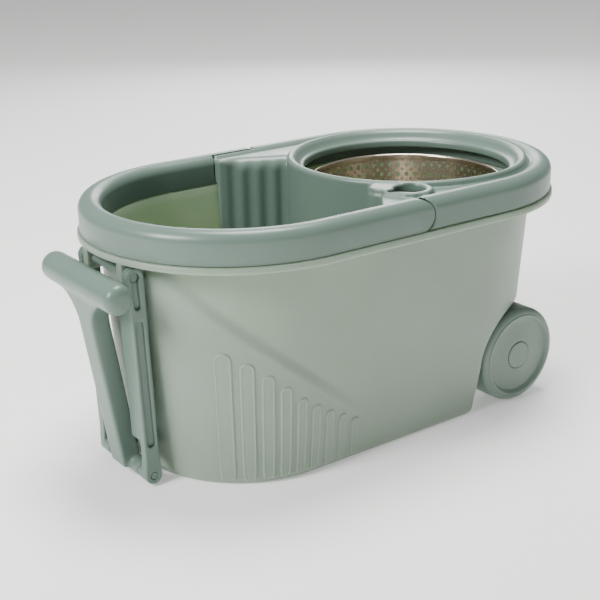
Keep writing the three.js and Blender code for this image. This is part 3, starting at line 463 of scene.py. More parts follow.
cut(tub, rod_piece("pin_bore", (PIN_X, 0, PIN_Z), PIN_BORE, 2 * END_RADIUS, "y", 24))
smooth_by_angle(tub, 38)
tub_plastic = moulded_polypropylene("tub_polypropylene", "#919f93", "#829282", 0.40, 0.6)
finish_piece(tub, tub_plastic, "bucket", "tub_plastic", "tub")


# Bail handle: polypropylene moulded as an upturned channel, the front half of the rim. Each end is a thin
# tongue with a round nose beside the cover's ear. It turns on a pin set above the nose's middle.
cover_low, cover_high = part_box("wringer_cover")
bail_low, bail_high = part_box("bail_handle")
RIM_OUTER = bail_high[1]
RIM_INNER = RIM_OUTER - 20.2 * MM
RIM_BOTTOM = bail_low[2]
RIM_TOP = bail_high[2]
pivot_low, pivot_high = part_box("bail_pivot_left")
PIVOT_X = (pivot_low[0] + pivot_high[0]) / 2
AXIS_Z = (pivot_low[2] + pivot_high[2]) / 2
PIN_MIDDLE = (pivot_low[1] + pivot_high[1]) / 2
PIN_HALF = (pivot_high[1] - pivot_low[1]) / 2
PIN_RADIUS = (pivot_high[2] - pivot_low[2]) / 2
NOSE_Z = (RIM_BOTTOM + RIM_TOP) / 2
NOSE = (RIM_TOP - RIM_BOTTOM) / 2 - 0.15 * MM
TONGUE_INNER = RIM_OUTER - 13.3 * MM
EAR_OUTER = TONGUE_INNER - 0.5 * MM
EAR_RADIUS = 42 * MM
RIM_WALL = 2.5 * MM
BROAD_ROUND = 9.5 * MM
SMALL_ROUND = 0.9 * MM


def rim_section(inset, steps=14):
    """The rim's section as radius and height pairs: upright sides with small bottom rounds and a broad round
    top."""
    outer, inner, top = RIM_OUTER - inset, RIM_INNER + inset, RIM_TOP - inset
    broad = BROAD_ROUND - inset
    low = RIM_BOTTOM - inset
    section = arc((inner + SMALL_ROUND, low + SMALL_ROUND), SMALL_ROUND, 180, 270, 4)
    section += arc((outer - SMALL_ROUND, low + SMALL_ROUND), SMALL_ROUND, -90, 0, 4)
    section += arc((outer - broad, top - broad), broad, 0, 90, steps)
    section += arc((inner + broad, top - broad), broad, 90, 180, steps)
    return section


def rim_sweep(name, section, end_x, steps=96):
    """The section carried along one straight side, round the front half circle and back."""
    angle = np.concatenate([[-90] * 12, np.linspace(-90, -270, steps), [-270] * 12])
    straight = np.linspace(end_x, -MIDDLE, 13)[:-1]
    centre = np.concatenate([straight, [-MIDDLE] * steps, straight[::-1]])
    radians = np.radians(angle)
    radius = np.array([point[0] for point in section])[None, :]
    height = np.array([point[1] for point in section])[None, :]
    x = centre[:, None] + radius * np.cos(radians)[:, None]
    y = radius * np.sin(radians)[:, None]
    return ring_piece(name, np.stack([x, y, np.broadcast_to(height, x.shape)], axis=-1))


def nose_disc(radius, steps=160):
    """A disc about the nose's middle, through the whole width."""
    return rod_piece("nose_disc", (PIVOT_X, 0, NOSE_Z), radius, 2 * FAR, "y", steps)


def behind_pivot():
    """Everything behind the nose's middle."""
    return box_piece("behind", (PIVOT_X, -FAR, -FAR), (FAR, FAR, FAR))


def cut_pin_bores(piece):
    """Cuts the bore for the pin on each side."""
    for side in (-1, 1):
        bore = (PIVOT_X, side * PIN_MIDDLE, AXIS_Z)
        cut(piece, rod_piece("bore", bore, PIN_RADIUS + 0.3 * MM, 2 * PIN_HALF + 0.6 * MM, "y", 24))


bail = rim_sweep("bail_grip", rim_section(0), PIVOT_X + NOSE + 1 * MM)
cut(bail, rim_sweep("bail_hollow", rim_section(RIM_WALL), PIVOT_X - EAR_RADIUS - 2 * RIM_WALL))
ear_space = join(nose_disc(EAR_RADIUS + 0.5 * MM), behind_pivot())
keep(ear_space, box_piece("between", (-FAR, -TONGUE_INNER, 0), (FAR, TONGUE_INNER, FAR)))
cut(bail, ear_space)
cut(bail, cut(behind_pivot(), nose_disc(NOSE, 96)))
cut_pin_bores(bail)
smooth_by_angle(bail)
cover_plastic = moulded_polypropylene("cover_polypropylene", "#677c71", "#5f7368", 0.33)
finish_piece(bail, cover_plastic, "bail", "cover_plastic", "bail_handle")


# Wringer cover: one polypropylene moulding clipped on the flange. It has the rear half of the rim, a deck, a
# raised round opening, an ear beside each tongue of the bail, a pouring pocket, and a skirt that parts the
# tub.
OPENING_X = END_RADIUS + MIDDLE - 135 * MM
SKIRT = 111 * MM
THROAT = 95 * MM
DECK = cover_high[2] - 5.5 * MM
LIP_TOP = cover_high[2]
SKIRT_BOTTOM = cover_low[2]
COVER_WALL = 2.5 * MM
SEAM_ANGLE = math.radians(136)
POCKET_ANGLE = math.radians(212)
POCKET = np.array([1, -77]) * MM
POCKET_CORNER = 12 * MM
FLUTE_DEPTH = 1.7 * MM
WING_ROUND = 13 * MM
SIDE_ROUND = 3 * MM
EDGE_ROUND = 2.5 * MM
POUR_HOLE = (16 * MM, -95 * MM)
POUR_TIP = (-1 * MM, -91 * MM)
FAN_POINTS = 8
SIDE_POINTS = 20


def front_path():
    """The plan of the cover's front from the left ear to the right one, as close points with, for each, the
    direction that leads in under the deck, the flute's depth there and the radius of the top edge."""
    ear = np.array([PIVOT_X - EAR_RADIUS, RIM_OUTER])
    knee = np.array([PIVOT_X - EAR_RADIUS + 1.5 * MM, wall_radius(FLANGE_LOW) - 9 * MM])
    seam = np.array([OPENING_X + SKIRT * math.cos(SEAM_ANGLE), SKIRT * math.sin(SEAM_ANGLE)])
    share = np.linspace(0, 1, 140)
    wing = knee + (seam - knee) * share[:, None]
    run = (seam - knee) / np.linalg.norm(seam - knee)
    wing_in = np.tile([-run[1], run[0]], (len(share), 1))
    wave = 0.5 - 0.5 * np.cos(2 * math.pi * np.clip(share * 4.2 - 0.35, 0, 3.5))
    flute = FLUTE_DEPTH * wave * smooth_step(share * 12) * smooth_step((1 - share) * 9)
    side = ear + (knee - ear) * np.linspace(0, 1, SIDE_POINTS)[:, None]
    side_in = np.tile([1.0, 0.0], (SIDE_POINTS, 1))
    angle = np.linspace(SEAM_ANGLE, POCKET_ANGLE, 120)
    arc_points = np.stack([OPENING_X + SKIRT * np.cos(angle), SKIRT * np.sin(angle)], axis=-1)
    arc_in = -np.stack([np.cos(angle), np.sin(angle)], axis=-1)
    turn_angle = np.linspace(math.radians(112), math.radians(226), 36)
    boss_in = -np.stack([np.cos(turn_angle), np.sin(turn_angle)], axis=-1)
    boss = POCKET - POCKET_CORNER * boss_in
    end = np.array([ear[0], -ear[1]])
    last = boss[-1] + (end - boss[-1]) * np.linspace(0, 1, 40)[:, None]
    last_run = (end - boss[-1]) / np.linalg.norm(end - boss[-1])
    last_in = np.tile([-last_run[1], last_run[0]], (40, 1))

    def fan(point, before, after):
        """One point repeated, while its direction turns from one side's to the next."""
        share = np.linspace(0, 1, FAN_POINTS + 2)[1:-1, None]
        blend = before * (1 - share) + after * share
        return np.tile(point, (FAN_POINTS, 1)), blend / np.linalg.norm(blend, axis=1, keepdims=True)

    knee_fan = fan(knee, side_in[-1], wing_in[0])
    seam_fan = fan(seam, wing_in[-1], arc_in[0])
    neck = np.linspace(0, 1, 20)[1:-1, None]
    neck_points = arc_points[-1] * (1 - neck) + boss[0] * neck
    neck_in = arc_in[-1] * (1 - neck) + boss_in[0] * neck
    neck_in /= np.linalg.norm(neck_in, axis=1, keepdims=True)
    end_fan = fan(boss[-1], boss_in[-1], last_in[0])
    points = np.concatenate([
        side, knee_fan[0], wing, seam_fan[0], arc_points, neck_points, boss, end_fan[0], last,
    ])
    inward = np.concatenate([
        side_in, knee_fan[1], wing_in, seam_fan[1], arc_in, neck_in, boss_in, end_fan[1], last_in,
    ])
    before_wing = SIDE_POINTS + FAN_POINTS
    past_wing = len(points) - before_wing - len(wing)
    flutes = np.concatenate([np.zeros(before_wing), flute, np.zeros(past_wing)])
    round_top = np.concatenate([
        np.full(before_wing, SIDE_ROUND),
        SIDE_ROUND + (WING_ROUND - SIDE_ROUND) * smooth_step(share * 3),
        np.linspace(WING_ROUND, EDGE_ROUND, FAN_POINTS),
        np.full(past_wing - FAN_POINTS, EDGE_ROUND),
    ])
    return points, inward, flutes, round_top


def behind_front(inset, heights, top):
    """Everything behind the front path, as a loft of plans. Near the top each plan is drawn in along a
    quarter round, and the flutes die out there."""
    points, inward, flutes, round_top = front_path()
    rings = []
    for z in heights:
        up = np.clip(z - (top - round_top), 0, round_top)
        drawn = round_top - np.sqrt(np.maximum(round_top ** 2 - up ** 2, 0))
        fade = 1 - smooth_step(up / round_top)
        plan = points + inward * (drawn + inset + flutes * fade)[:, None]
        edge = np.array([(plan[-1, 0], -FAR), (FAR, -FAR), (FAR, FAR), (plan[0, 0], FAR)])
        plan = np.concatenate([plan, edge])
        rings.append(np.column_stack([plan, np.full(len(plan), z)]))
    return ring_piece("behind_front", np.array(rings))


def turned_piece(name, profile, centre_x, steps=144):
    """A closed profile of radius and height turned about an upright line."""
    angle = np.linspace(0, 2 * math.pi, steps, endpoint=False)
    radius = np.array([point[0] for point in profile])[None, :]
    height = np.array([point[1] for point in profile])[None, :]
    x = centre_x + radius * np.cos(angle)[:, None]
    y = radius * np.sin(angle)[:, None]
    return ring_piece(name, np.stack([x, y, np.broadcast_to(height, x.shape)], axis=-1), joined=True)


def opening_tool():
    """The round opening, inside the raised lip."""
    return rod_piece("opening", (OPENING_X, 0, LIP_TOP), SKIRT - 3 * MM, 0.2, "z", 144)


near_top = np.linspace(DECK - 14 * MM, DECK - 0.1 * MM, 22)
TOP_HEIGHTS = np.concatenate([[SKIRT_BOTTOM], near_top, [DECK + 0.4 * MM, FAR]])
deck_levels = rim_section(0)[4:-3] + [(RIM_INNER - 0.5 * MM, DECK + 0.6 * MM), (RIM_INNER - 3 * MM, DECK)]
cover = ring_piece("wringer_top", oval_rings(deck_levels, MIDDLE))
keep(cover, behind_front(0, TOP_HEIGHTS, DECK + 0.2 * MM))
keep(cover, join(nose_disc(EAR_RADIUS), behind_pivot()))
rim_start = cut(behind_pivot(), nose_disc(NOSE + 1.5 * MM, 96))
keep(cover, join(rim_start, box_piece("ears", (-FAR, -EAR_OUTER, -FAR), (FAR, EAR_OUTER, FAR))))
under_levels = [(RIM_INNER - 3 * MM, RIM_BOTTOM - 5 * MM), (RIM_INNER - 3 * MM, DECK - COVER_WALL)]
hollow = ring_piece("hollow", oval_rings(under_levels, MIDDLE, 48))
inner_heights = np.concatenate([[0], TOP_HEIGHTS[1:-1] - COVER_WALL, [FAR]])
keep(hollow, behind_front(COVER_WALL, inner_heights, DECK - 2.3 * MM))
cut(cover, hollow)
cut(cover, opening_tool())
skirt = behind_front(0, TOP_HEIGHTS, DECK + 0.2 * MM)
cut(skirt, behind_front(COVER_WALL, inner_heights, DECK - 2.3 * MM))
clearance = WALL + 1 * MM
tub_inside = ring_piece("tub_inside", oval_rings([
    (wall_radius(SKIRT_BOTTOM) - clearance, SKIRT_BOTTOM),
    (wall_radius(FLANGE_TOP) - clearance, FLANGE_TOP),
    (wall_radius(FLANGE_TOP) - clearance, DECK - 1 * MM),
], MIDDLE))
keep(skirt, tub_inside)
keep(skirt, box_piece("skirt_front", (-FAR, -FAR, 0), (OPENING_X - SKIRT / 4, FAR, FAR)))
join(cover, skirt)
lip = arc((SKIRT - 3.4 * MM, LIP_TOP - 3.4 * MM), 3.4 * MM, 0, 115, 12)
lip += [(SKIRT - 8 * MM, LIP_TOP - 2.6 * MM), (SKIRT - 10.5 * MM, LIP_TOP - 6.2 * MM)]
lip += [(THROAT + 3 * MM, LIP_TOP - 8.6 * MM)]
lip += arc((THROAT + 2 * MM, LIP_TOP - 10.6 * MM), 2 * MM, 120, 180, 5)
lip += [(THROAT, LIP_TOP - 16 * MM), (THROAT + COVER_WALL, LIP_TOP - 16 * MM)]
lip += [(THROAT + COVER_WALL, LIP_TOP - 10.5 * MM), (SKIRT, LIP_TOP - 9 * MM)]
join(cover, turned_piece("lip", lip, OPENING_X))


# The pear-shaped pouring hole is a round and a tip joined by tangents, in a boss that reaches the pocket.
boss_outline = arc(POUR_HOLE, 19.5 * MM, -140, 62, 40) + arc(tuple(POCKET), 14 * MM, 62, 232, 30)
pour_outline = arc(POUR_HOLE, 13.5 * MM, -112, 153, 40) + arc(POUR_TIP, 4 * MM, 153, 234, 12)
pour_lip = extrude_piece("pour_lip", boss_outline, DECK - 1 * MM, DECK + 4.0 * MM, "z")
cut(pour_lip, opening_tool())
keep(pour_lip, behind_front(0.3 * MM, np.array([0.0, FAR]), FAR))
join(cover, pour_lip)
cut(cover, extrude_piece("pour_hole", pour_outline, 0, FAR, "z"))
cut_pin_bores(cover)
soften(cover, 1.15 * MM, 4)
finish_piece(cover, cover_plastic, "bucket", "cover_plastic", "wringer_cover")


# Basket: polished stainless sheet pressed to a cup, punched with rows of 4 mm holes and rolled over at the
# rim. It stands on the hub and turns with it.
def polished_steel(name, colour, light_colour, roughness):
    """Polished stainless steel: a slightly blurred mirror with a fine change of gloss and a warm cast."""
    material, tree = empty_material(name)
    output = add_node(tree, "ShaderNodeOutputMaterial")
    place = add_node(tree, "ShaderNodeTexCoord").outputs["Object"]
    lines = add_node(tree, "ShaderNodeTexNoise", {"Vector": place}, Scale=300.0, Detail=4.0, Roughness=0.6)
    clouds = add_node(tree, "ShaderNodeTexNoise", {"Vector": place}, Scale=18.0, Detail=3.0, Roughness=0.5)
    tint = add_node(tree, "ShaderNodeMix", {"Factor": clouds.outputs["Fac"]}, data_type="RGBA")
    tint.inputs[6].default_value = linear(colour)
    tint.inputs[7].default_value = linear(light_colour)
    gloss = add_node(tree, "ShaderNodeMapRange", {"Value": lines.outputs["Fac"]})
    gloss.inputs["To Min"].default_value = roughness
    gloss.inputs["To Max"].default_value = roughness + 0.06
    uneven = clouds.outputs["Fac"]
    bump = add_node(tree, "ShaderNodeBump", {"Height": uneven}, Strength=0.05, Distance=0.0008)
    shader = add_node(tree, "ShaderNodeBsdfPrincipled", {
        "Base Color": tint.outputs[2],
        "Roughness": gloss.outputs["Result"],
        "Normal": bump.outputs["Normal"],
    }, Metallic=1.0)
    tree.links.new(shader.outputs["BSDF"], output.inputs["Surface"])
    return material


basket_low, basket_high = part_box("spin_basket")
BASKET_TOP = basket_high[2]
BASKET_FLOOR = basket_low[2]
HOLE_ROWS = 8
HOLES_ROUND = 64
HOLE_SHARE = 0.235
HOLES_LOW = BASKET_FLOOR + 8 * MM
RIM_STRIP = 6 * MM
ROLL_RADIUS = 1.6 * MM
FLOOR_LEVEL = BASKET_FLOOR + 0.6 * MM
FLOOR_RADIUS = 73 * MM
SHEET = 0.6 * MM


def basket_wall_radius(z):
    """The wall's inner radius: it widens evenly from the floor's round to the rim."""
    share = (z - BASKET_FLOOR - 5 * MM) / (BASKET_TOP - 3 * MM - BASKET_FLOOR - 5 * MM)
    return (78.4 + 8.8 * share) * MM


def punched_wall():
    """A cylinder of square cells, one hole in each: the cell's square border and the hole's ring have the
    same number of points, joined by quads. The holes of all the rows are in line."""
    points_round = 16
    spacing = (BASKET_TOP - RIM_STRIP - HOLES_LOW) / HOLE_ROWS
    turn = 2 * math.pi * (np.arange(points_round) + 0.5) / points_round
    border = np.stack([np.cos(turn), np.sin(turn)], axis=-1)
    border = border / np.abs(border).max(axis=1, keepdims=True) / 2
    corner = np.abs(np.abs(border) - 0.5).sum(axis=1) < 0.12
    border = np.where(corner[:, None], np.sign(border) * 0.5, border)
    hole = np.stack([np.cos(turn), np.sin(turn)], axis=-1) * HOLE_SHARE
    cell = np.concatenate([border, hole])
    column, row = np.meshgrid(np.arange(HOLES_ROUND), np.arange(HOLE_ROWS))
    u = column.reshape(-1, 1) + cell[None, :, 0] + 0.5
    v = row.reshape(-1, 1) + cell[None, :, 1] + 0.5
    angle = 2 * math.pi * u / HOLES_ROUND
    z = HOLES_LOW + v * spacing
    radius = basket_wall_radius(z)
    points = np.stack([POST_X + radius * np.cos(angle), radius * np.sin(angle), z], axis=-1)
    base = np.arange(HOLES_ROUND * HOLE_ROWS)[:, None] * 2 * points_round
    index = np.arange(points_round)[None, :]
    after = (index + 1) % points_round
    faces = np.stack([
        base + index,
        base + after,
        base + points_round + after,
        base + points_round + index,
    ], axis=-1)
    return points.reshape(-1, 3), faces.reshape(-1, 4).tolist()


def turned_sheet(profile, centre_x, steps=256):
    """An open sheet: a profile of radius and height turned about an upright line."""
    angle = np.linspace(0, 2 * math.pi, steps, endpoint=False)
    radius = np.array([point[0] for point in profile])[:, None]
    height = np.array([point[1] for point in profile])[:, None]
    x = centre_x + radius * np.cos(angle)[None, :]
    y = radius * np.sin(angle)[None, :]
    points = np.stack([x, y, np.broadcast_to(height, x.shape)], axis=-1).reshape(-1, 3)
    row = np.arange(len(profile) - 1)[:, None]
    column = np.arange(steps)[None, :]
    after = (column + 1) % steps
    faces = np.stack([
        row * steps + column,
        row * steps + after,
        (row + 1) * steps + after,
        (row + 1) * steps + column,
    ], axis=-1)
    return points, faces.reshape(-1, 4).tolist()


wall_points, wall_faces = punched_wall()
rim_low = BASKET_TOP - RIM_STRIP
rim_radius = basket_wall_radius(rim_low)
roll = arc((rim_radius + ROLL_RADIUS, BASKET_TOP - 1.9 * MM), ROLL_RADIUS, 180, -80, 14)
rim_points, rim_faces = turned_sheet([(rim_radius, rim_low)] + roll, POST_X)
floor_profile = [(12.5 * MM, FLOOR_LEVEL), (FLOOR_RADIUS, FLOOR_LEVEL)]
floor_profile += arc((FLOOR_RADIUS, FLOOR_LEVEL + 5 * MM), 5 * MM, -80, -5, 8)
floor_profile += [(basket_wall_radius(HOLES_LOW), HOLES_LOW)]
floor_points, floor_faces = turned_sheet(floor_profile, POST_X)
points = np.concatenate([wall_points, rim_points, floor_points])
faces = list(wall_faces)
faces += (np.array(rim_faces) + len(wall_points)).tolist()
faces += (np.array(floor_faces) + len(wall_points) + len(rim_points)).tolist()
basket_mesh = bpy.data.meshes.new("steel_basket")
basket_mesh.from_pydata(points.tolist(), [], faces)
bm = bmesh.new()
bm.from_mesh(basket_mesh)
bmesh.ops.remove_doubles(bm, verts=bm.verts, dist=0.05 * MM)
bmesh.ops.recalc_face_normals(bm, faces=bm.faces)
bm.to_mesh(basket_mesh)
bm.free()
basket = bpy.data.objects.new("steel_basket", basket_mesh)
bpy.context.collection.objects.link(basket)
sheet_wall = basket.modifiers.new("sheet", "SOLIDIFY")
sheet_wall.thickness = SHEET
sheet_wall.offset = 0
settle(basket)
smooth_by_angle(basket, 40)
steel = polished_steel("polished_stainless", "#b5a896", "#e0d6c6", 0.2)
finish_piece(basket, steel, "basket", "steel", "spin_basket")


# Wheels: polypropylene shells with a raised ring, a shallow dish and a hub cap, open at the back. They turn
# on a steel axle that crosses the tub.
def across_piece(name, profile, side, steps=128):
    """A closed profile of radius and depth turned about the axle. Depth is measured out from the middle."""
    angle = np.linspace(0, 2 * math.pi, steps, endpoint=False)
    radius = np.array([point[0] for point in profile])[None, :]
    depth = np.array([point[1] for point in profile])[None, :]
    x = AXLE_X + radius * np.cos(angle)[:, None]
    z = AXLE_Z + radius * np.sin(angle)[:, None]
    return ring_piece(name, np.stack([x, side * np.broadcast_to(depth, x.shape), z], axis=-1), joined=True)


FACE = max(abs(wheel_low[1]), abs(wheel_high[1]))
WIDTH = wheel_high[1] - wheel_low[1]
DISH_DEPTH = 2.2 * MM
HUB_RADIUS = 9 * MM
wheel_plastic = moulded_polypropylene("wheel_polypropylene", "#74877b", "#697b70", 0.38)


def wheel_profile():
    """From the bore outwards over the dish, the raised ring and the rounded shoulder, then back inside."""
    ring = 39.5 * MM
    dish = FACE - DISH_DEPTH
    hollow = 3.4 * MM
    cap = 13.3 * MM
    back = FACE - WIDTH
    profile = [(AXLE_BORE, back), (AXLE_BORE, FACE - 9.5 * MM)]
    profile += [(cap, FACE - 9.5 * MM), (cap, dish - 0.5 * MM)]
    profile += arc((cap + 0.5 * MM, dish - 0.5 * MM), 0.5 * MM, 180, 90, 4)
    profile += [(cap + 1.6 * MM, dish), (20 * MM, dish - 0.5 * MM)]
    profile += [(ring - 10 * MM, FACE - hollow), (ring - 6 * MM, FACE - hollow)]
    for t in np.linspace(0, math.pi, 13)[1:]:
        profile.append((ring - 5.4 * MM + 4.6 * MM * t / math.pi, FACE - hollow * (1 + math.cos(t)) / 2))
    profile += [(ring + 0.2 * MM, FACE - 0.15 * MM), (ring + 0.7 * MM, FACE - 0.9 * MM)]
    shoulder = 6.2 * MM
    profile += arc((WHEEL_RADIUS - shoulder, FACE - 0.9 * MM - shoulder), shoulder, 82, 0, 14)
    profile += [(WHEEL_RADIUS, back + 2 * MM)]
    profile += arc((WHEEL_RADIUS - 1.4 * MM, back + 1.4 * MM), 1.4 * MM, 0, -90, 5)
    inner = WHEEL_RADIUS - 3 * MM
    profile += [(inner, back), (inner, FACE - 9.5 * MM), (ring - 4 * MM, FACE - 7.8 * MM)]
    profile += [(16.5 * MM, FACE - 7.8 * MM), (16.5 * MM, FACE - 12.5 * MM)]
    profile += [(HUB_RADIUS, FACE - 12.5 * MM), (HUB_RADIUS, back)]
    return profile


def cap_profile():
    """A shallow crowned disc with a rounded rim, and a plug behind it."""
    seat = FACE - DISH_DEPTH
    profile = [(0.2 * MM, seat - 2.5 * MM), (12.7 * MM, seat - 2.5 * MM)]
    profile += [(13.0 * MM, seat - 2.2 * MM), (13.0 * MM, seat - 0.4 * MM)]
    profile += arc((12.0 * MM, seat - 0.3 * MM), 1.0 * MM, 0, 80, 6)
    for r in (10.5, 8.0, 5.0, 2.5, 0.2):
        profile.append((r * MM, seat + (0.7 + 0.4 * (1 - (r / 12.0) ** 2)) * MM))
    return profile


for name, side in (("right", -1), ("left", 1)):
    wheel = across_piece("wheel_shell_" + name, wheel_profile(), side)
    smooth_by_angle(wheel, 30)
    finish_piece(wheel, wheel_plastic, name + "_wheel", "wheel_plastic", "wheel_" + name)
    cap = across_piece("hub_cap_" + name, cap_profile(), side, 64)
    smooth_by_angle(cap, 30)
    finish_piece(cap, wheel_plastic, name + "_wheel", "wheel_plastic", "wheel_cap_" + name)


# Tow frame: two channelled polypropylene bars hung under the flange, joined low down by a web. Each has an
# eye at its foot for the handle's pin.
foot_low, foot_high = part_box("tow_foot_pin")
FOOT = Vector(((foot_low[0] + foot_high[0]) / 2, 0, (foot_low[2] + foot_high[2]) / 2))
TOP = Vector((PIN_X, 0, PIN_Z))
BAR_INNER = 33.3 * MM
BAR_OUTER = BAR_INNER + 8.5 * MM
BAR_HALF_DEPTH = 6.5 * MM
EYE_RADIUS = 7.5 * MM
CHANNEL_HALF = 3.4 * MM
SLOT_HALF = 2.6 * MM
FLANGE_INNER = 20 * MM
FOOT_BORE = 3.3 * MM
WEB_LOW = 17 * MM
WEB_HIGH = 32 * MM


def lean(piece, angle, foot):
    """Turns a mesh about the Y direction and moves it to its foot, in the mesh itself."""
    mesh = piece.data
    count = len(mesh.vertices)
    points = np.empty(count * 3, np.float32)
    mesh.vertices.foreach_get("co", points)
    points = points.reshape(-1, 3)
    x = points[:, 0] * math.cos(angle) + points[:, 2] * math.sin(angle)
    z = -points[:, 0] * math.sin(angle) + points[:, 2] * math.cos(angle)
    points = np.stack([x + foot[0], points[:, 1], z + foot[2]], axis=-1).astype(np.float32)
    mesh.vertices.foreach_set("co", points.ravel())
    mesh.update()


reach = (TOP - FOOT).length
frame_angle = math.atan2(TOP.x - FOOT.x, TOP.z - FOOT.z)
bar_outline = arc((0, 0), EYE_RADIUS, 180, 360, 24)
bar_outline += [(7.0 * MM, 10 * MM), (BAR_HALF_DEPTH, WEB_LOW)]
bar_outline += arc((0, reach), 8 * MM, 0, 180, 24)
bar_outline += [(-BAR_HALF_DEPTH, reach - 14 * MM), (-BAR_HALF_DEPTH, WEB_LOW), (-7.0 * MM, 10 * MM)]
tow = None
for side in (1, -1):
    low, high = sorted((side * BAR_INNER, side * BAR_OUTER))
    bar = extrude_piece("bar", bar_outline, low, high, "y")
    floor_y = side * (BAR_OUTER - 3.2 * MM)
    low, high = sorted((floor_y, side * FAR))
    channel = arc((0, 30 * MM), CHANNEL_HALF, 180, 360, 12)
    channel += arc((0, reach - 40 * MM), CHANNEL_HALF, 0, 180, 12)
    cut(bar, extrude_piece("channel", channel, low, high, "y"))
    slot = arc((0, reach - 24 * MM), SLOT_HALF, 180, 360, 12) + arc((0, reach), SLOT_HALF, 0, 180, 12)
    cut(bar, extrude_piece("slot", slot, low, high, "y"))
    low, high = sorted((side * FLANGE_INNER, side * (BAR_INNER + 1 * MM)))
    flange_corner = (3 * MM - BAR_HALF_DEPTH, high, reach - 27 * MM)
    join(bar, box_piece("flange", (-BAR_HALF_DEPTH, low, WEB_HIGH), flange_corner))
    middle = side * (BAR_OUTER - 8 * MM)
    join(bar, rod_piece("eye", (0, middle, 0), EYE_RADIUS, 16 * MM, "y"))
    tow = join(tow, bar) if tow else bar
web_half = BAR_INNER + 1 * MM
join(tow, box_piece("web", (3.0 * MM, -web_half, WEB_LOW), (BAR_HALF_DEPTH, web_half, WEB_HIGH)))
cut(tow, rod_piece("bore", (0, 0, reach), PIN_BORE, FAR, "y", 24))
cut(tow, rod_piece("bore", (0, 0, 0), FOOT_BORE, FAR, "y", 24))
tow.name = "tow_bars"
soften(tow, 0.75 * MM, 3)
lean(tow, frame_angle, FOOT)
finish_piece(tow, cover_plastic, "frame", "cover_plastic", "tow_frame")


# Tow handle: a T moulded in polypropylene. The stem swells into two gussets under a round cross grip, and a
# hub turns on the pin at the frame's foot.
GRIP_REACH = 168 * MM
GRIP_FORWARD = -4 * MM
STEM_HALF = 12 * MM
STEM_HALF_DEPTH = 8.5 * MM
GUSSET = 29 * MM
GRIP_HALF = 61 * MM
GRIP_END = 7 * MM
GRIP_CORE = 5.5 * MM
HANDLE_LEAN = math.radians(-8)
grip_under = GRIP_REACH - 9.4 * MM
t_outline = [(STEM_HALF, 0)]
t_outline += arc((STEM_HALF + GUSSET, grip_under - GUSSET), GUSSET, 180, 90, 24)
t_outline += [(STEM_HALF + GUSSET, GRIP_REACH), (-STEM_HALF - GUSSET, GRIP_REACH)]
t_outline += arc((-STEM_HALF - GUSSET, grip_under - GUSSET), GUSSET, 90, 0, 24)
t_outline += [(-STEM_HALF, 0)]
flat = np.array(t_outline)
rings = np.zeros((2, len(flat), 3))
rings[:, :, 1] = flat[:, 0]
rings[:, :, 2] = flat[:, 1]
rings[0, :, 0] = GRIP_FORWARD - STEM_HALF_DEPTH
rings[1, :, 0] = GRIP_FORWARD + STEM_HALF_DEPTH
handle = ring_piece("tow_grip", rings)


def grip_rings():
    """A round bar along Y whose ends are rounded over the last seven millimetres."""
    bend = np.radians(np.linspace(0, 90, 12))
    end_radius = GRIP_CORE + GRIP_END * np.sin(bend)
    end_y = GRIP_HALF - GRIP_END + GRIP_END * np.cos(bend)
    radius = np.concatenate([end_radius, end_radius[::-1]])
    along = np.concatenate([end_y, -end_y[::-1]])
    angle = np.linspace(0, 2 * math.pi, 48, endpoint=False)
    x = GRIP_FORWARD + radius[:, None] * np.cos(angle)[None, :]
    z = GRIP_REACH + radius[:, None] * np.sin(angle)[None, :]
    return np.stack([x, np.broadcast_to(along[:, None], x.shape), z], axis=-1)


join(handle, ring_piece("grip", grip_rings()))
join(handle, rod_piece("hub", (0, 0, 0), EYE_RADIUS, 2 * (BAR_OUTER - 16.6 * MM), "y"))
cut(handle, rod_piece("bore", (0, 0, 0), FOOT_BORE, FAR, "y", 24))
soften(handle, 1.0 * MM, 26)
lean(handle, HANDLE_LEAN, FOOT)
finish_piece(handle, cover_plastic, "handle", "cover_plastic", "tow_handle")


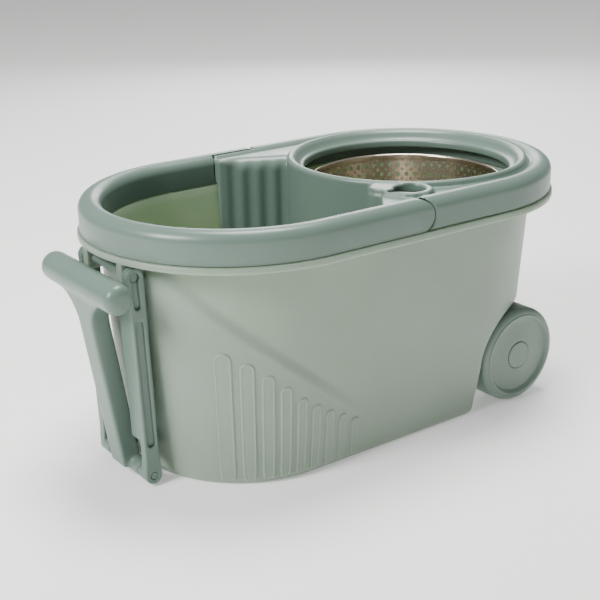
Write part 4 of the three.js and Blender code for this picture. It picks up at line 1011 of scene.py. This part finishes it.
# Small pieces that keep their CAD shape. The bail's and tow handle's pins, the hub and the mop seat are
# polypropylene, the bush and washer are undyed plastic, and the shafts, clips and screws are steel.
natural_plastic = moulded_polypropylene("natural_polypropylene", "#dcdcd2", "#cfcfc4", 0.35)
PLASTIC_NODES = ("bail_pivot_left", "bail_pivot_right", "basket_hub", "basket_seat",
                 "tow_top_pin", "tow_foot_pin")
NATURAL_NODES = ("hub_bush", "thrust_washer")
STEEL_NODES = ("spindle", "spindle_clip", "axle", "axle_clip_left", "axle_clip_right",
               "basket_screw_1", "basket_screw_2", "basket_screw_3")
SMALL_PIECES = ((PLASTIC_NODES, cover_plastic), (NATURAL_NODES, natural_plastic), (STEEL_NODES, steel))
for names, material in SMALL_PIECES:
    for name in names:
        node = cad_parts[name]
        node.data.materials.clear()
        node.data.materials.append(material)


# Floor: a plain pale matt paint, flat and wide, with a little light of its own so that it stays pale far
# away.
FLOOR_HALF = 12.0
floor_corners = np.array([(-1, -1, 0), (1, -1, 0), (1, 1, 0), (-1, 1, 0)], float) * FLOOR_HALF
floor = mesh_piece("floor", floor_corners, [[0, 1, 2, 3]])
floor_paint = bpy.data.materials.new("pale_floor")
floor_paint.use_nodes = True
floor_shader = floor_paint.node_tree.nodes["Principled BSDF"]
floor_shader.inputs["Base Color"].default_value = linear("#f4f4f2")
floor_shader.inputs["Roughness"].default_value = 0.9
floor_shader.inputs["Emission Color"].default_value = linear("#ffffff")
floor_shader.inputs["Emission Strength"].default_value = 0.3
floor.data.materials.append(floor_paint)


# Light: a big soft key from the front left, a soft one overhead, a weak one from behind, and an even pale
# room.
def soft_light(name, place, aim, size, power):
    """A round area light at a place, turned to a point."""
    light = bpy.data.lights.new(name, "AREA")
    light.shape = "DISK"
    light.size = size
    light.energy = power
    lamp = bpy.data.objects.new(name, light)
    bpy.context.collection.objects.link(lamp)
    lamp.location = place
    lamp.rotation_euler = (Vector(place) - Vector(aim)).to_track_quat("Z", "Y").to_euler()


soft_light("key", (-1.9, -0.1, 1.5), (0, 0, 0.12), 0.9, 62)
soft_light("top", (0.3, 0.3, 2.2), (0, 0, 0.15), 1.0, 66)
soft_light("back", (1.2, 1.5, 0.9), (0, 0, 0.15), 1.0, 14)
world = bpy.data.worlds.new("studio")
world.use_nodes = True
room = world.node_tree.nodes["Background"]
room.inputs["Color"].default_value = linear("#fbfbfa")
room.inputs["Strength"].default_value = 0.3
bpy.context.scene.world = world
